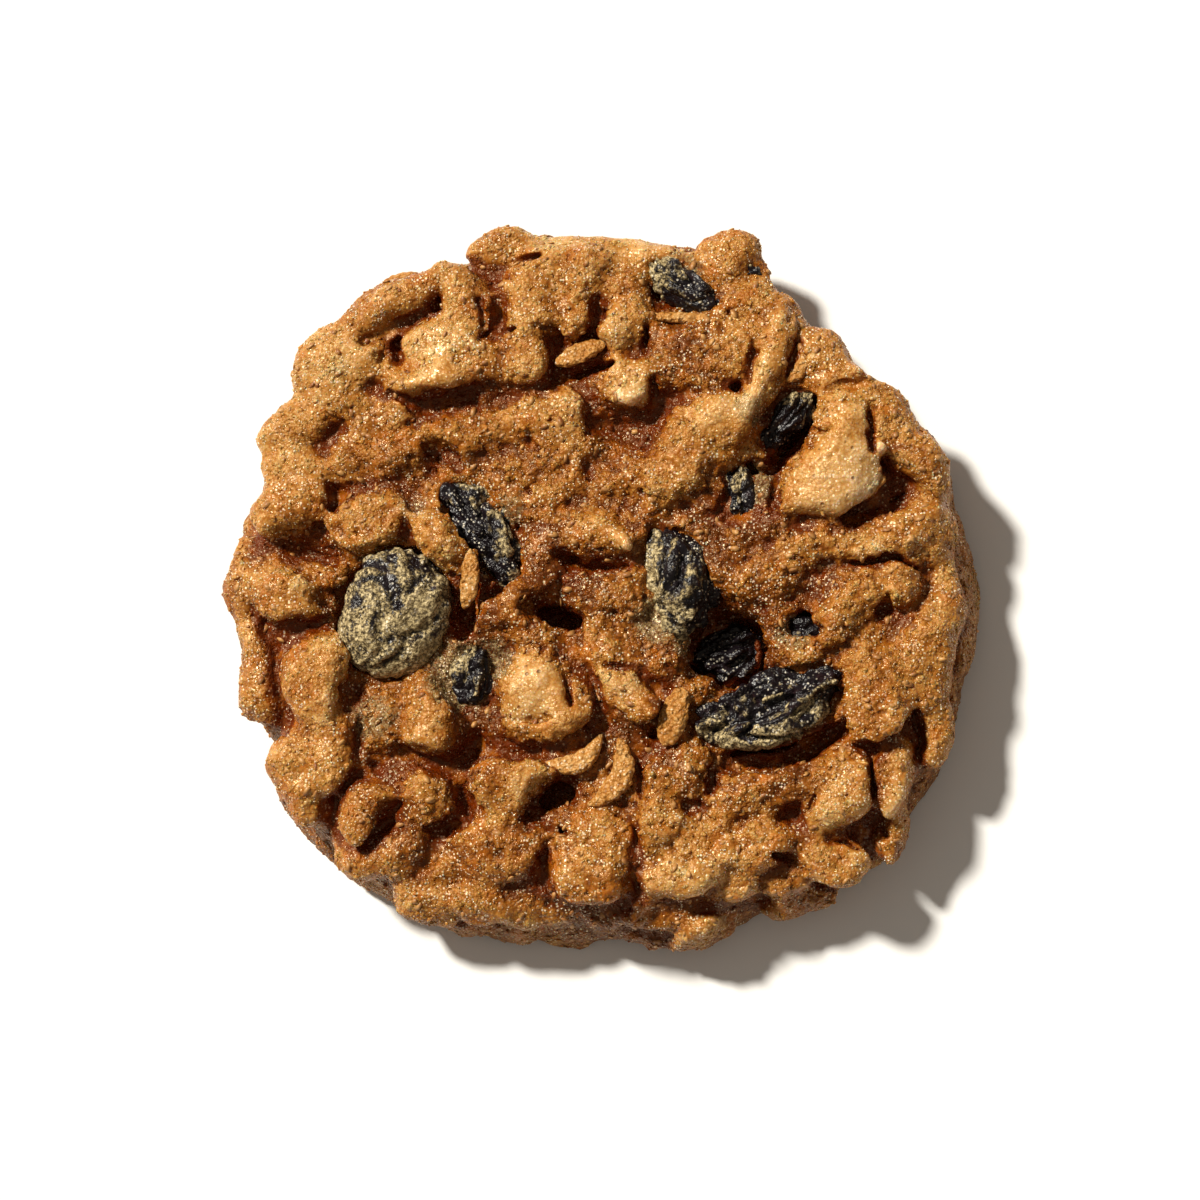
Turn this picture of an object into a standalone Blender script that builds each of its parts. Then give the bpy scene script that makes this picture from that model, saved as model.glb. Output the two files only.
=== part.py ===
"""An oatmeal raisin cookie: baked dough full of rolled oats, raisins set in it, loose oat flakes on top.

The dough is one solid with a flat base. Each raisin and each loose flake is its own solid, which sits
in a pocket of the dough with a thin gap round it. The origin is at the middle of the base, with +Z up.
"""

import math
from collections import namedtuple

import bmesh
import bpy
from mathutils import Matrix, Vector

MM = 0.001  # every size and place below is in millimetres

# The dough: a spread skirt that lies on the tray, a thicker slab on it, and a low dome.
SKIRT_HEIGHT = 4.6
SKIRT_ROUNDING = 2.0
SLAB_HEIGHT = 8.2
SLAB_INSET = 1.6
SLAB_ROUNDING = 3.4
BELOW_TRAY = 2.0  # the dough is made this much too deep, then cut off level at the base
DOME = (34.0, 32.5, 2.8)  # half lengths of the dome
DOME_CENTRE_HEIGHT = 6.9
DOME_FINENESS = (48, 24)  # faces round and along the dome
CURVE_FINENESS = 4  # steps between two knots of the outline
ROUNDING_FINENESS = 3
TRAY_BLOCK = (120.0, 20.0)  # side and depth of the block that levels the base
WELD = 0.01  # corners nearer than this are one

POCKET_GAP = 0.3  # free space between a raisin or flake and its pocket
VOXEL = 0.62  # fineness at which the lumps melt into one dough
MELT_STEPS = 4
MELT_SHARE = 0.5  # how far each step moves a corner towards its neighbours' middle
DOUGH_DETAIL = 0.053  # share of the melted dough's faces that is kept

LUMP_FINENESS = (16, 10)  # faces round and along a lump
RAISIN_FINENESS = (14, 9)
CHIP_FINENESS = (8, 6)  # of a raisin shorter than CHIP_LENGTH
CHIP_LENGTH = 5.0
FLAKE_FINENESS = (8, 6)
POCKET_FINENESS = (9, 7)
RAISIN_FOLD_DEPTH = 0.1  # shares of a raisin's half width
RAISIN_WAIST_DEPTH = 0.05
RAISIN_FOLD_TWIST = 1.4  # radians that the folds turn from a raisin's middle to its end
RAISIN_WAISTS = 5.0
RAISIN_FOLDS = (3, 4)  # raisins take these in turn
FLAKE_THINNING = 0.9  # shares of a flake's half thickness
FLAKE_EDGE_LIFT = 0.35
FLAKE_SINK = 0.1
SLAB_POWER = 0.72  # under 1, a lump has a flatter top and steeper sides than an ellipsoid

# The tray outline, as (clock angle in degrees from +X, distance from the middle).
OUTLINE = (
    (0, 39.2), (15, 38.6), (29, 37.2), (43, 34.0), (57, 34.6), (70, 37.6), (84, 37.8),
    (98, 38.4), (108, 38.8), (118, 38.4), (128, 38.0), (142, 38.8), (156, 38.4),
    (168, 38.4), (177, 39.6), (184, 39.6), (194, 39.2), (204, 38.6), (212, 41.0),
    (222, 41.0), (232, 40.2), (242, 39.6), (252, 38.6), (262, 37.2), (272, 37.2),
    (284, 38.2), (296, 38.2), (309, 40.0), (322, 40.4), (334, 40.2), (345, 39.2),
    (353, 40.0),
)

# x, y: place. top: height of its crest over the tray. long, wide, thick: size. turn: way its length
# runs. Its upper face leans by tip degrees towards the clock angle toward, and its two ends bend
# sideways by bow millimetres.
Piece = namedtuple("Piece", "x y top long wide thick turn tip toward bow", defaults=(0, 0, 0, 0))


def pieces(*rows):
    """Rows of numbers as pieces. A row that stops after turn lies level and straight."""
    return [Piece(*row) for row in rows]


RIM_LUMPS = pieces(
    (-22.3, 30.2, 10.6, 12.0, 5.4, 4.0, 33, 22, 125),
    (-28.2, 27.0, 8.2, 4.4, 3.0, 3.0, 25),
    (-32.0, 17.6, 9.8, 8.0, 5.6, 4.0, 35, 6, 150),
    (-33.0, 8.8, 10.2, 8.4, 6.0, 4.0, 35, 10, 130),
    (-38.2, 0.2, 7.6, 6.4, 4.0, 4.4, 95),
    (-36.8, -9.0, 7.6, 10.4, 3.8, 4.4, 97),
    (-31.0, -18.6, 10.0, 8.6, 7.6, 4.4, 60, 6, 150),
    (-31.4, -22.4, 8.8, 5.6, 3.2, 3.2, -55),
    (-25.4, -29.0, 8.4, 5.2, 3.2, 3.4, -32),
    (-18.3, -33.0, 7.8, 6.4, 5.2, 4.6, -20),
    (-12.2, -33.4, 8.0, 6.4, 3.8, 3.8, -8),
    (-7.4, -34.0, 6.8, 4.4, 3.0, 3.2, 0),
    (0.0, -34.4, 5.4, 9.0, 3.4, 3.4, 0),
    (7.6, -34.9, 5.8, 5.8, 2.4, 2.8, 18),
    (10.2, -36.0, 4.4, 5.2, 3.6, 3.4, 30),
    (21.5, -33.0, 5.4, 6.4, 2.6, 2.8, 16),
    (19.6, -31.0, 8.0, 6.0, 3.2, 3.2, 18),
    (24.4, -28.6, 9.4, 8.4, 4.6, 3.8, -12),
    (30.6, -26.4, 7.4, 5.4, 3.2, 3.8, 78),
    (35.2, -16.4, 8.2, 6.6, 3.8, 4.2, 80),
    (36.2, -2.6, 8.8, 7.0, 5.6, 4.8, 95),
    (35.0, 5.6, 9.2, 8.6, 4.4, 4.6, 98),
    (34.8, 13.0, 7.2, 9.0, 3.2, 4.0, -62),
    (31.4, 15.6, 10.6, 10.6, 5.4, 4.0, -58),
    (27.5, 20.5, 7.8, 6.0, 3.0, 3.4, -45),
    (24.2, 25.2, 7.0, 2.2, 2.0, 2.4, 0),
    (19.0, 28.4, 9.6, 7.4, 4.4, 4.0, -35),
    (13.8, 34.6, 9.0, 6.4, 6.2, 4.6, 100),
    (11.2, 36.2, 8.0, 3.0, 2.4, 2.6, 60),
    (5.2, 35.0, 8.2, 8.5, 3.4, 3.6, -12),
    (-3.0, 35.6, 7.8, 7.5, 3.4, 3.6, 2),
    (-9.8, 36.0, 8.2, 8.0, 4.4, 3.8, -4),
)

CROWN_LUMPS = pieces(
    # back left
    (-28.8, 23.4, 10.4, 8.2, 6.6, 4.0, 48, 8, 140),
    (-24.0, 24.4, 10.6, 5.0, 3.6, 3.0, -55),
    (-17.6, 26.3, 10.9, 7.0, 4.6, 2.4, 60, 14, 150),
    (-17.6, 22.4, 11.4, 11.0, 3.4, 3.0, 17, 25, 110),
    (-23.2, 18.2, 9.8, 8.0, 3.4, 2.6, 8),
    (-27.5, 19.8, 10.0, 6.0, 3.0, 2.6, -20),
    (-32.6, 12.6, 9.8, 6.5, 4.4, 3.6, 10),
    (-26.3, 13.8, 9.8, 5.5, 4.0, 3.0, 30),
    (-21.5, 14.5, 9.9, 7.0, 4.0, 2.6, 20),
    (-14.2, 16.5, 10.2, 8.0, 3.6, 2.6, -5),
    # back middle
    (-7.3, 32.4, 10.4, 6.6, 5.4, 3.6, 80, 8, 120),
    (-7.2, 28.6, 10.9, 6.4, 4.4, 3.2, 85, 10, 150),
    (-13.2, 29.4, 10.5, 10.5, 3.6, 3.2, 102, 14, 170),
    (-9.0, 23.8, 11.0, 7.2, 5.2, 2.8, -10, 10, 110),
    (-1.6, 32.6, 9.8, 6.0, 4.6, 3.2, 20),
    (3.0, 31.4, 9.8, 5.2, 4.0, 2.6, 70),
    (-3.2, 28.8, 10.1, 5.0, 4.0, 2.6, 0),
    (3.0, 27.6, 11.0, 4.6, 4.2, 3.2, 30, 10, 130),
    (3.0, 21.3, 11.6, 7.0, 5.4, 3.6, -15, 12, 120),
    (10.4, 24.2, 11.0, 11.0, 7.0, 3.0, 8, 10, 115),
    (-4.0, 17.2, 11.0, 7.0, 4.0, 2.8, 82, 8, 150),
    (-7.8, 17.4, 10.6, 4.4, 3.6, 2.6, 40),
    (-6.8, 12.4, 10.0, 8.0, 4.0, 2.6, 5),
    (1.6, 11.0, 9.9, 6.5, 4.5, 2.4, 0),
    # back right
    (15.6, 30.2, 9.4, 4.6, 2.8, 2.6, 10),
    (15.2, 24.6, 11.0, 5.0, 4.4, 2.6, 80, 8, 140),
    (18.8, 24.6, 11.1, 6.2, 3.2, 2.4, 74, 12, 170),
    (16.0, 18.8, 11.8, 10.5, 3.0, 3.0, 50, 14, 150),
    (24.0, 23.0, 9.8, 7.6, 5.2, 3.6, -48),
    (9.0, 13.6, 12.0, 11.0, 7.4, 4.2, 52, 12, 140),
    (12.2, 18.2, 11.9, 4.2, 3.8, 3.0, 45),
    (26.3, 16.2, 12.6, 8.0, 5.8, 3.4, -68, 12, 150),
    (23.4, 11.7, 13.0, 9.4, 8.4, 4.4, 30, 16, 130),
    (17.0, 6.0, 10.2, 7.0, 4.0, 2.6, 20),
    # middle left
    (-24.2, 6.9, 10.9, 8.0, 5.4, 2.6, 12, 8, 130),
    (-33.6, -1.0, 10.2, 7.0, 5.2, 3.6, -20, 12, 140),
    (-29.8, -10.0, 10.9, 10.5, 6.4, 4.0, 78, 10, 150),
    (-28.2, -16.6, 10.8, 9.0, 4.2, 3.4, 82, 10, 160),
    # middle
    (-16.2, 5.2, 11.2, 6.0, 3.4, 2.6, -42),
    (-0.8, 5.2, 11.0, 8.8, 4.0, 2.4, -12, 18, 110),
    (-5.7, 2.9, 10.4, 4.4, 2.8, 2.4, 75),
    (-6.0, 8.6, 10.1, 5.6, 3.4, 2.4, 10),
    (0.9, -0.8, 10.8, 8.4, 5.8, 3.2, 15, 8, 130),
    (-8.4, -2.4, 10.6, 8.4, 3.0, 2.4, 36),
    (-7.2, -6.2, 10.4, 6.4, 3.2, 2.6, -10),
    (0.7, -7.0, 11.2, 5.0, 3.6, 2.8, 95),
    (-6.8, -10.9, 12.8, 7.6, 5.2, 3.4, 10, 12, 130),
    (-4.4, -13.6, 12.0, 9.6, 5.6, 3.0, 28, 14, 130),
    (2.1, -11.2, 11.8, 4.6, 3.9, 3.0, -20, 8, 130),
    (6.8, -8.0, 10.2, 5.2, 4.2, 2.6, 0),
    # middle right
    (21.9, 4.1, 10.8, 5.0, 2.8, 2.4, -14, 14, 110),
    (30.0, 4.4, 10.6, 11.6, 4.4, 3.2, 12, 12, 110),
    (27.4, -1.2, 10.8, 6.8, 4.4, 3.2, 40, 10, 130),
    (31.9, 0.2, 10.4, 4.4, 4.0, 3.2, 80, 8, 120),
    (34.0, -7.0, 9.8, 8.0, 7.0, 4.4, 60, 4, 140),
    (28.0, -8.4, 10.2, 5.0, 4.2, 2.8, 0),
    (17.4, 0.8, 10.8, 7.6, 3.6, 2.8, 5, 8, 120),
    (24.6, -4.4, 11.2, 5.2, 4.2, 3.0, 60, 6, 140),
    # front left
    (-25.2, -23.6, 10.0, 5.2, 4.4, 3.4, 60),
    (-21.3, -28.4, 9.6, 6.2, 4.4, 3.4, 20),
    (-18.4, -23.0, 10.3, 5.6, 5.0, 3.2, 0, 8, 130),
    (-17.8, -15.2, 11.9, 6.8, 4.8, 3.8, 108, 10, 150),
    (-22.8, -14.8, 10.6, 5.6, 4.6, 3.0, 100),
    (-8.6, -20.9, 11.9, 7.8, 4.8, 3.6, 0, 12, 120),
    (-10.6, -27.8, 10.4, 9.0, 5.8, 3.8, -5, 8, 120),
    # front middle
    (9.2, -20.0, 10.6, 5.4, 4.8, 3.4, 40),
    (5.8, -21.4, 10.4, 4.8, 3.8, 2.8, 80),
    (-0.6, -28.6, 10.8, 9.8, 8.6, 4.4, 85, 10, 120),
    (9.4, -29.2, 10.4, 10.6, 7.6, 4.2, 20, 8, 120),
    (14.4, -31.2, 8.8, 5.4, 4.4, 3.4, 30),
    (6.2, -26.0, 10.6, 4.6, 3.4, 2.8, 30),
    # front right
    (28.6, -12.8, 10.8, 8.4, 6.8, 3.8, -10, 6, 130),
    (34.0, -12.0, 9.4, 4.8, 4.0, 3.6, 60),
    (31.2, -20.6, 9.9, 8.4, 4.2, 3.6, 78, 6, 150),
    (25.6, -21.8, 11.0, 8.4, 7.0, 4.2, 60, 10, 140),
    (19.6, -20.8, 10.7, 5.4, 4.2, 3.0, 30),
    (14.6, -22.6, 10.6, 6.0, 4.0, 3.0, 40),
    (17.2, -27.4, 10.5, 6.2, 5.2, 3.6, 20, 8, 130),
)

# Places where the crust has sunk or burst open. top is the height that the hollow reaches up to.
HOLLOWS = pieces(
    (-3.8, -3.7, 12.0, 6.2, 2.6, 8.0, -20),
    (-4.4, -22.6, 12.0, 4.6, 3.6, 7.0, 60),
    (13.6, -6.9, 13.0, 9.4, 8.2, 7.2, 15),
    (21.6, -4.9, 13.0, 5.0, 4.2, 5.6, 0),
    (21.5, -17.6, 12.0, 9.0, 2.6, 5.4, 20),
    (-14.6, -2.6, 12.0, 6.4, 3.4, 5.6, -70),
    (-16.8, 12.6, 11.5, 5.0, 2.8, 4.4, 40),
    (-13.4, -17.4, 11.5, 5.0, 3.6, 4.2, 60),
    (29.6, -4.2, 11.5, 3.8, 2.6, 4.4, 60),
)

RAISINS = {
    "raisin_round": Piece(-21.8, -2.8, 13.2, 13.2, 12.6, 7.6, 60),
    "raisin_under_flake": Piece(-12.4, 6.0, 11.4, 14.0, 6.2, 5.2, -54, 8, 60, -0.7),
    "raisin_upright": Piece(8.4, 0.2, 12.0, 10.8, 7.4, 5.8, 98, 0, 0, 0.5),
    "raisin_sunken": Piece(13.6, -7.0, 7.4, 8.0, 7.2, 4.2, 20),
    "raisin_folded": Piece(18.2, -13.1, 12.7, 16.2, 8.6, 6.8, 18, 8, 110, 0.6),
    "raisin_torn": Piece(21.8, -5.0, 9.0, 4.2, 3.4, 3.0, 0),
    "raisin_rim": Piece(9.2, 31.9, 10.6, 9.6, 4.6, 4.2, -33),
    "raisin_rim_small": Piece(15.9, 33.0, 9.4, 3.8, 3.0, 3.0, -20),
    "raisin_slit": Piece(20.0, 17.6, 10.6, 9.4, 4.4, 4.6, 50, 0, 0, 0.3),
    "raisin_wedged": Piece(15.0, 9.6, 10.9, 6.8, 4.4, 4.2, 100),
    "raisin_coated": Piece(-13.2, -9.4, 11.2, 7.0, 6.2, 4.8, 80),
}

LOOSE_FLAKES = {
    "oat_finger": Piece(-13.4, 0.4, 12.4, 6.6, 2.2, 1.7, 84, 6, 180, 0.2),
    "oat_upright": Piece(8.1, -14.2, 11.7, 6.8, 3.2, 2.2, 74, 8, 160),
    "oat_curl_inner": Piece(-2.2, -18.2, 11.3, 7.2, 2.5, 1.9, 26, 10, 130, 0.9),
    "oat_curl_outer": Piece(1.6, -20.2, 11.2, 8.4, 2.8, 2.0, 66, 10, 140, 1.15),
    "oat_on_edge": Piece(8.8, 28.2, 10.6, 8.4, 1.4, 2.0, -4),
    "oat_rim_roll": Piece(-20.9, 33.0, 8.6, 5.0, 1.8, 1.8, 8),
    "oat_small_curl": Piece(21.2, 22.4, 10.9, 3.6, 1.6, 1.5, 58, 0, 0, 0.3),
    "oat_under_ledge": Piece(-1.8, 24.5, 10.9, 6.2, 2.4, 1.5, 22, 16, 115),
    "oat_torn_edge": Piece(28.4, 9.6, 11.6, 5.0, 1.8, 1.5, 34),
}


def clear_scene():
    """An empty scene to build in."""
    for obj in list(bpy.data.objects):
        bpy.data.objects.remove(obj)


def new_collection(name):
    """A collection of that name, linked to the scene."""
    collection = bpy.data.collections.new(name)
    bpy.context.scene.collection.children.link(collection)
    return collection


def new_material(name, colour, roughness):
    """A plain, non-metallic finish."""
    material = bpy.data.materials.new(name)
    material.use_nodes = True
    shader = material.node_tree.nodes["Principled BSDF"]
    shader.inputs["Base Color"].default_value = (*colour, 1.0)
    shader.inputs["Roughness"].default_value = roughness
    shader.inputs["Metallic"].default_value = 0.0
    return material


def place_of(piece):
    """The matrix that carries a sphere of radius 1 to the piece's ellipsoid, in metres."""
    turn = Matrix.Rotation(math.radians(piece.turn), 4, "Z")
    toward = math.radians(piece.toward)
    hinge = Vector((-math.sin(toward), math.cos(toward), 0))
    tip = Matrix.Rotation(math.radians(piece.tip), 4, hinge)
    size = Matrix.Diagonal((piece.long / 2, piece.wide / 2, piece.thick / 2, 1))
    centre = Matrix.Translation((piece.x, piece.y, piece.top - piece.thick / 2))
    return Matrix.Scale(MM, 4) @ centre @ tip @ turn @ size


def add_ball(bm, segments, rings, shape, place):
    """A sphere whose poles lie on its length (X), shaped point by point, then put in place."""
    lay_down = Matrix.Rotation(math.pi / 2, 4, "Y")
    made = bmesh.ops.create_uvsphere(
        bm, u_segments=segments, v_segments=rings, radius=1, matrix=lay_down
    )
    for vertex in made["verts"]:
        vertex.co = place @ shape(vertex.co.copy())


def slab_shape(point):
    """Flattens a ball's top and bottom, so that a lump has a table and steep sides."""
    point.z = math.copysign(abs(point.z) ** SLAB_POWER, point.z)
    return point


def bent(point, piece):
    """Moves a ball's two ends sideways, so that it becomes a crescent."""
    point.y += piece.bow * (2 * point.x * point.x - 1) / (piece.wide / 2)
    return point


def pocket_shape(piece):
    """A smooth bed, which clears the folds of what lies in it."""

    def shape(point):
        return bent(point, piece)

    return shape


def raisin_shape(piece, folds):
    """A dried fruit: lengthwise folds that fade out at its ends, and a waist across it."""

    def shape(point):
        around = math.atan2(point.z, point.y)
        fade = math.sqrt(max(0.0, 1 - point.x * point.x))
        wave = folds * around + RAISIN_FOLD_TWIST * point.x + piece.x
        fold = RAISIN_FOLD_DEPTH * fade * math.cos(wave)
        waist = RAISIN_WAIST_DEPTH * fade * math.cos(RAISIN_WAISTS * point.x + piece.y)
        shrink = 1 - RAISIN_FOLD_DEPTH - RAISIN_WAIST_DEPTH + fold + waist
        return bent(Vector((point.x, point.y * shrink, point.z * shrink)), piece)

    return shape


def flake_shape(piece):
    """A flat flake with its two long edges turned up."""

    def shape(point):
        lift = FLAKE_EDGE_LIFT * point.y * point.y - FLAKE_SINK
        return bent(Vector((point.x, point.y, point.z * FLAKE_THINNING + lift)), piece)

    return shape


def new_object(name, bm, collection, material=None):
    """The bmesh as an object of the collection, shaded smooth."""
    mesh = bpy.data.meshes.new(name)
    bm.to_mesh(mesh)
    bm.free()
    mesh.shade_smooth()
    if material:
        mesh.materials.append(material)
    obj = bpy.data.objects.new(name, mesh)
    collection.objects.link(obj)
    return obj


def hide_cutter(obj):
    """Marks an object as a helper that isn't part of the cookie."""
    obj.hide_render = True
    obj.display_type = "WIRE"


def outline_slab(inset, height, rounding):
    """A slab with the tray outline, moved in by inset, from under the tray up to height."""
    curve = bpy.data.curves.new("outline", "CURVE")
    curve.dimensions = "2D"
    curve.fill_mode = "BOTH"
    curve.resolution_u = CURVE_FINENESS
    thickness = height + BELOW_TRAY
    curve.extrude = (thickness / 2 - rounding) * MM
    curve.bevel_depth = rounding * MM
    curve.bevel_resolution = ROUNDING_FINENESS
    curve.offset = -rounding * MM
    spline = curve.splines.new("BEZIER")
    spline.use_cyclic_u = True
    spline.bezier_points.add(len(OUTLINE) - 1)
    for knot, (clock, reach) in zip(spline.bezier_points, OUTLINE):
        angle = math.radians(clock)
        distance = (reach - inset) * MM
        knot.co = (distance * math.cos(angle), distance * math.sin(angle), 0)
        knot.handle_left_type = knot.handle_right_type = "AUTO"
    obj = bpy.data.objects.new("outline", curve)
    bpy.context.scene.collection.objects.link(obj)
    bpy.context.view_layer.update()
    graph = bpy.context.evaluated_depsgraph_get()
    mesh = bpy.data.meshes.new_from_object(obj.evaluated_get(graph))
    mesh.transform(Matrix.Translation((0, 0, (height - thickness / 2) * MM)))
    bpy.data.objects.remove(obj)
    return mesh


def add_modifier(obj, kind, **settings):
    """A modifier of that kind, with these settings."""
    modifier = obj.modifiers.new(kind.title(), kind)
    for name, value in settings.items():
        setattr(modifier, name, value)


def melted_dough(hollows, collection, material):
    """The skirt, slab, dome and lumps as one closed body, with the hollows taken out."""
    bm = bmesh.new()
    bm.from_mesh(outline_slab(0, SKIRT_HEIGHT, SKIRT_ROUNDING))
    bm.from_mesh(outline_slab(SLAB_INSET, SLAB_HEIGHT, SLAB_ROUNDING))
    bmesh.ops.remove_doubles(bm, verts=bm.verts, dist=WELD * MM)
    bmesh.ops.recalc_face_normals(bm, faces=bm.faces)
    dome = Matrix.Translation((0, 0, DOME_CENTRE_HEIGHT * MM)) @ Matrix.Diagonal(
        (*(half * MM for half in DOME), 1)
    )
    round_it, along_it = DOME_FINENESS
    bmesh.ops.create_uvsphere(bm, u_segments=round_it, v_segments=along_it, radius=1, matrix=dome)
    for lump in RIM_LUMPS + CROWN_LUMPS:
        add_ball(bm, *LUMP_FINENESS, slab_shape, place_of(lump))
    dough = new_object("dough", bm, collection, material)
    add_modifier(dough, "REMESH", mode="VOXEL", voxel_size=VOXEL * MM)
    cut(dough, hollows)
    add_modifier(dough, "SMOOTH", factor=MELT_SHARE, iterations=MELT_STEPS)
    add_modifier(dough, "DECIMATE", ratio=DOUGH_DETAIL)
    return dough


def bake_main_body(obj):
    """Makes the modifiers' result the object's own mesh, without any crumb that a cut set loose."""
    bpy.context.view_layer.update()
    graph = bpy.context.evaluated_depsgraph_get()
    mesh = bpy.data.meshes.new_from_object(obj.evaluated_get(graph))
    bm = bmesh.new()
    bm.from_mesh(mesh)
    unseen = set(bm.faces)
    bodies = []
    while unseen:
        body, border = set(), [unseen.pop()]
        while border:
            face = border.pop()
            body.add(face)
            joins = [edge for edge in face.edges if len(edge.link_faces) == 2]
            near = {other for edge in joins for other in edge.link_faces} & unseen
            unseen -= near
            border.extend(near)
        bodies.append(body)
    bodies.sort(key=len)
    for crumb in bodies[:-1]:
        bmesh.ops.delete(bm, geom=list(crumb), context="FACES")
    bm.to_mesh(mesh)
    bm.free()
    mesh.shade_smooth()
    obj.modifiers.clear()
    obj.data = mesh


def pocket_for(piece, fineness):
    """The piece, larger by the gap on every side, also at the middle of the pocket's flat faces."""
    stretch = 1 / math.cos(math.pi / min(fineness))
    thick = piece.thick * stretch + 2 * POCKET_GAP
    return piece._replace(
        top=piece.top + (thick - piece.thick) / 2,
        long=piece.long * stretch + 2 * POCKET_GAP,
        wide=piece.wide * stretch + 2 * POCKET_GAP,
        thick=thick,
    )


def cut(obj, cutter):
    """Cuts the cutter's shape out of the object."""
    add_modifier(obj, "BOOLEAN", operation="DIFFERENCE", object=cutter)


def hollow_cutter(collection):
    """All the hollows, as one helper."""
    bm = bmesh.new()
    for hollow in HOLLOWS:
        add_ball(bm, *LUMP_FINENESS, slab_shape, place_of(hollow))
    cutter = new_object("hollows", bm, collection)
    hide_cutter(cutter)
    return cutter


def tray_cutter(collection):
    """A block under the tray, which leaves the dough a level base."""
    bm = bmesh.new()
    side, depth = (length * MM for length in TRAY_BLOCK)
    size = Matrix.Diagonal((side, side, depth, 1))
    bmesh.ops.create_cube(bm, size=1, matrix=Matrix.Translation((0, 0, -depth / 2)) @ size)
    cutter = new_object("tray_cutter", bm, collection)
    hide_cutter(cutter)
    return cutter


def ball_object(name, piece, shape, fineness, collection, material=None):
    """One raisin, flake or cutter."""
    bm = bmesh.new()
    add_ball(bm, *fineness, shape, place_of(piece))
    return new_object(name, bm, collection, material)


def add_pocket(dough, name, piece, fineness, collection):
    """Cuts a bed for the piece into the dough."""
    room = pocket_for(piece, fineness)
    cutter = ball_object(f"{name}_pocket", room, pocket_shape(room), fineness, collection)
    hide_cutter(cutter)
    cut(dough, cutter)


def main():
    clear_scene()
    cookie = new_collection("oatmeal_raisin_cookie")
    cutters = new_collection("cutters")
    baked = new_material("baked_dough", (0.50, 0.24, 0.08), 0.6)
    skin = new_material("raisin_skin", (0.03, 0.02, 0.018), 0.45)
    oat = new_material("rolled_oat", (0.66, 0.42, 0.18), 0.65)

    dough = melted_dough(hollow_cutter(cutters), cookie, baked)
    cut(dough, tray_cutter(cutters))
    for number, (name, raisin) in enumerate(RAISINS.items()):
        shape = raisin_shape(raisin, RAISIN_FOLDS[number % len(RAISIN_FOLDS)])
        fineness = CHIP_FINENESS if raisin.long < CHIP_LENGTH else RAISIN_FINENESS
        ball_object(name, raisin, shape, fineness, cookie, skin)
        add_pocket(dough, name, raisin, POCKET_FINENESS, cutters)

    for name, flake in LOOSE_FLAKES.items():
        ball_object(name, flake, flake_shape(flake), FLAKE_FINENESS, cookie, oat)
        add_pocket(dough, name, flake, FLAKE_FINENESS, cutters)
    bake_main_body(dough)


main()
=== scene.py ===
"""The looks of an oatmeal raisin cookie: its crust, oat flakes, raisins, crumbs and sugar, on a pale floor.

The dough starts as the frame's own solid, on a grid of distances. Oat flakes melt into it, cracks are
cut, and a fine relief of lumps and pores is laid over the whole. The raisins and loose flakes start from
their solids too. All sizes and places in the tables are millimetres.
"""

import logging
import math
from dataclasses import dataclass, field
from enum import Enum
from typing import Any, Iterable, NamedTuple, Sequence

import bmesh
import bpy
import numpy as np
from mathutils import Matrix, Vector
from mathutils.bvhtree import BVHTree


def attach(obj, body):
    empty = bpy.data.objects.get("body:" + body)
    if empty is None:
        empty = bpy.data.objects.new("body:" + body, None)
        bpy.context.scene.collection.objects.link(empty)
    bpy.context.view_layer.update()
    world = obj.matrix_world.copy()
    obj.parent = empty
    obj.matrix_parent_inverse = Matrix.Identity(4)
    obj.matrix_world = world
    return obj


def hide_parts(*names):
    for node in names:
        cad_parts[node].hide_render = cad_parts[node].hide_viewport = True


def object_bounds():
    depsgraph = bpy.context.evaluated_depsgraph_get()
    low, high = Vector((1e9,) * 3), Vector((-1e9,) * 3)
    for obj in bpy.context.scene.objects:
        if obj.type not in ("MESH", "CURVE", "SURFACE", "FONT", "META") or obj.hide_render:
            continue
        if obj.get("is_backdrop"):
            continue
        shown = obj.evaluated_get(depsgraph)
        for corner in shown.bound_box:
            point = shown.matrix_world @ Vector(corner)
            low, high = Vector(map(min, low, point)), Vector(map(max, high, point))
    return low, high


logging.basicConfig(level=logging.INFO, format="%(message)s")
log = logging.getLogger("cookie")

MM = 0.001
BODY = "root"


def linear(red: float, green: float, blue: float) -> tuple[float, float, float, float]:
    """A display colour of 0 to 255 as the light that it stands for.

    Args:
        red: Red, 0 to 255.
        green: Green, 0 to 255.
        blue: Blue, 0 to 255.

    Returns:
        Linear red, green and blue, with an alpha of 1.
    """

    def straight(value: float) -> float:
        """One channel."""
        value /= 255
        return value / 12.92 if value <= 0.04045 else ((value + 0.055) / 1.055) ** 2.4

    return (straight(red), straight(green), straight(blue), 1.0)


def smooth_step(low: float, high: float, value: np.ndarray) -> np.ndarray:
    """0 below low, 1 above high, and an even curve between."""
    share = np.clip((value - low) / (high - low), 0, 1)
    return share * share * (3 - 2 * share)


# ---------------------------------------------------------------- node trees


class Value:
    """What a node puts out. Sums with it add their own nodes."""

    def __init__(self, tree: "Tree", socket: bpy.types.NodeSocket) -> None:
        """Notes the tree and the socket."""
        self.tree, self.socket = tree, socket

    def __add__(self, other: "Link") -> "Value":
        """The two added up."""
        return self.tree.math("ADD", self, other)

    def __sub__(self, other: "Link") -> "Value":
        """The other taken from it."""
        return self.tree.math("SUBTRACT", self, other)

    def __rsub__(self, other: "Link") -> "Value":
        """It taken from a number."""
        return self.tree.math("SUBTRACT", other, self)

    def __mul__(self, other: "Link") -> "Value":
        """The two multiplied."""
        return self.tree.math("MULTIPLY", self, other)

    def __rtruediv__(self, other: "Link") -> "Value":
        """A number divided by it."""
        return self.tree.math("DIVIDE", other, self)


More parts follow.
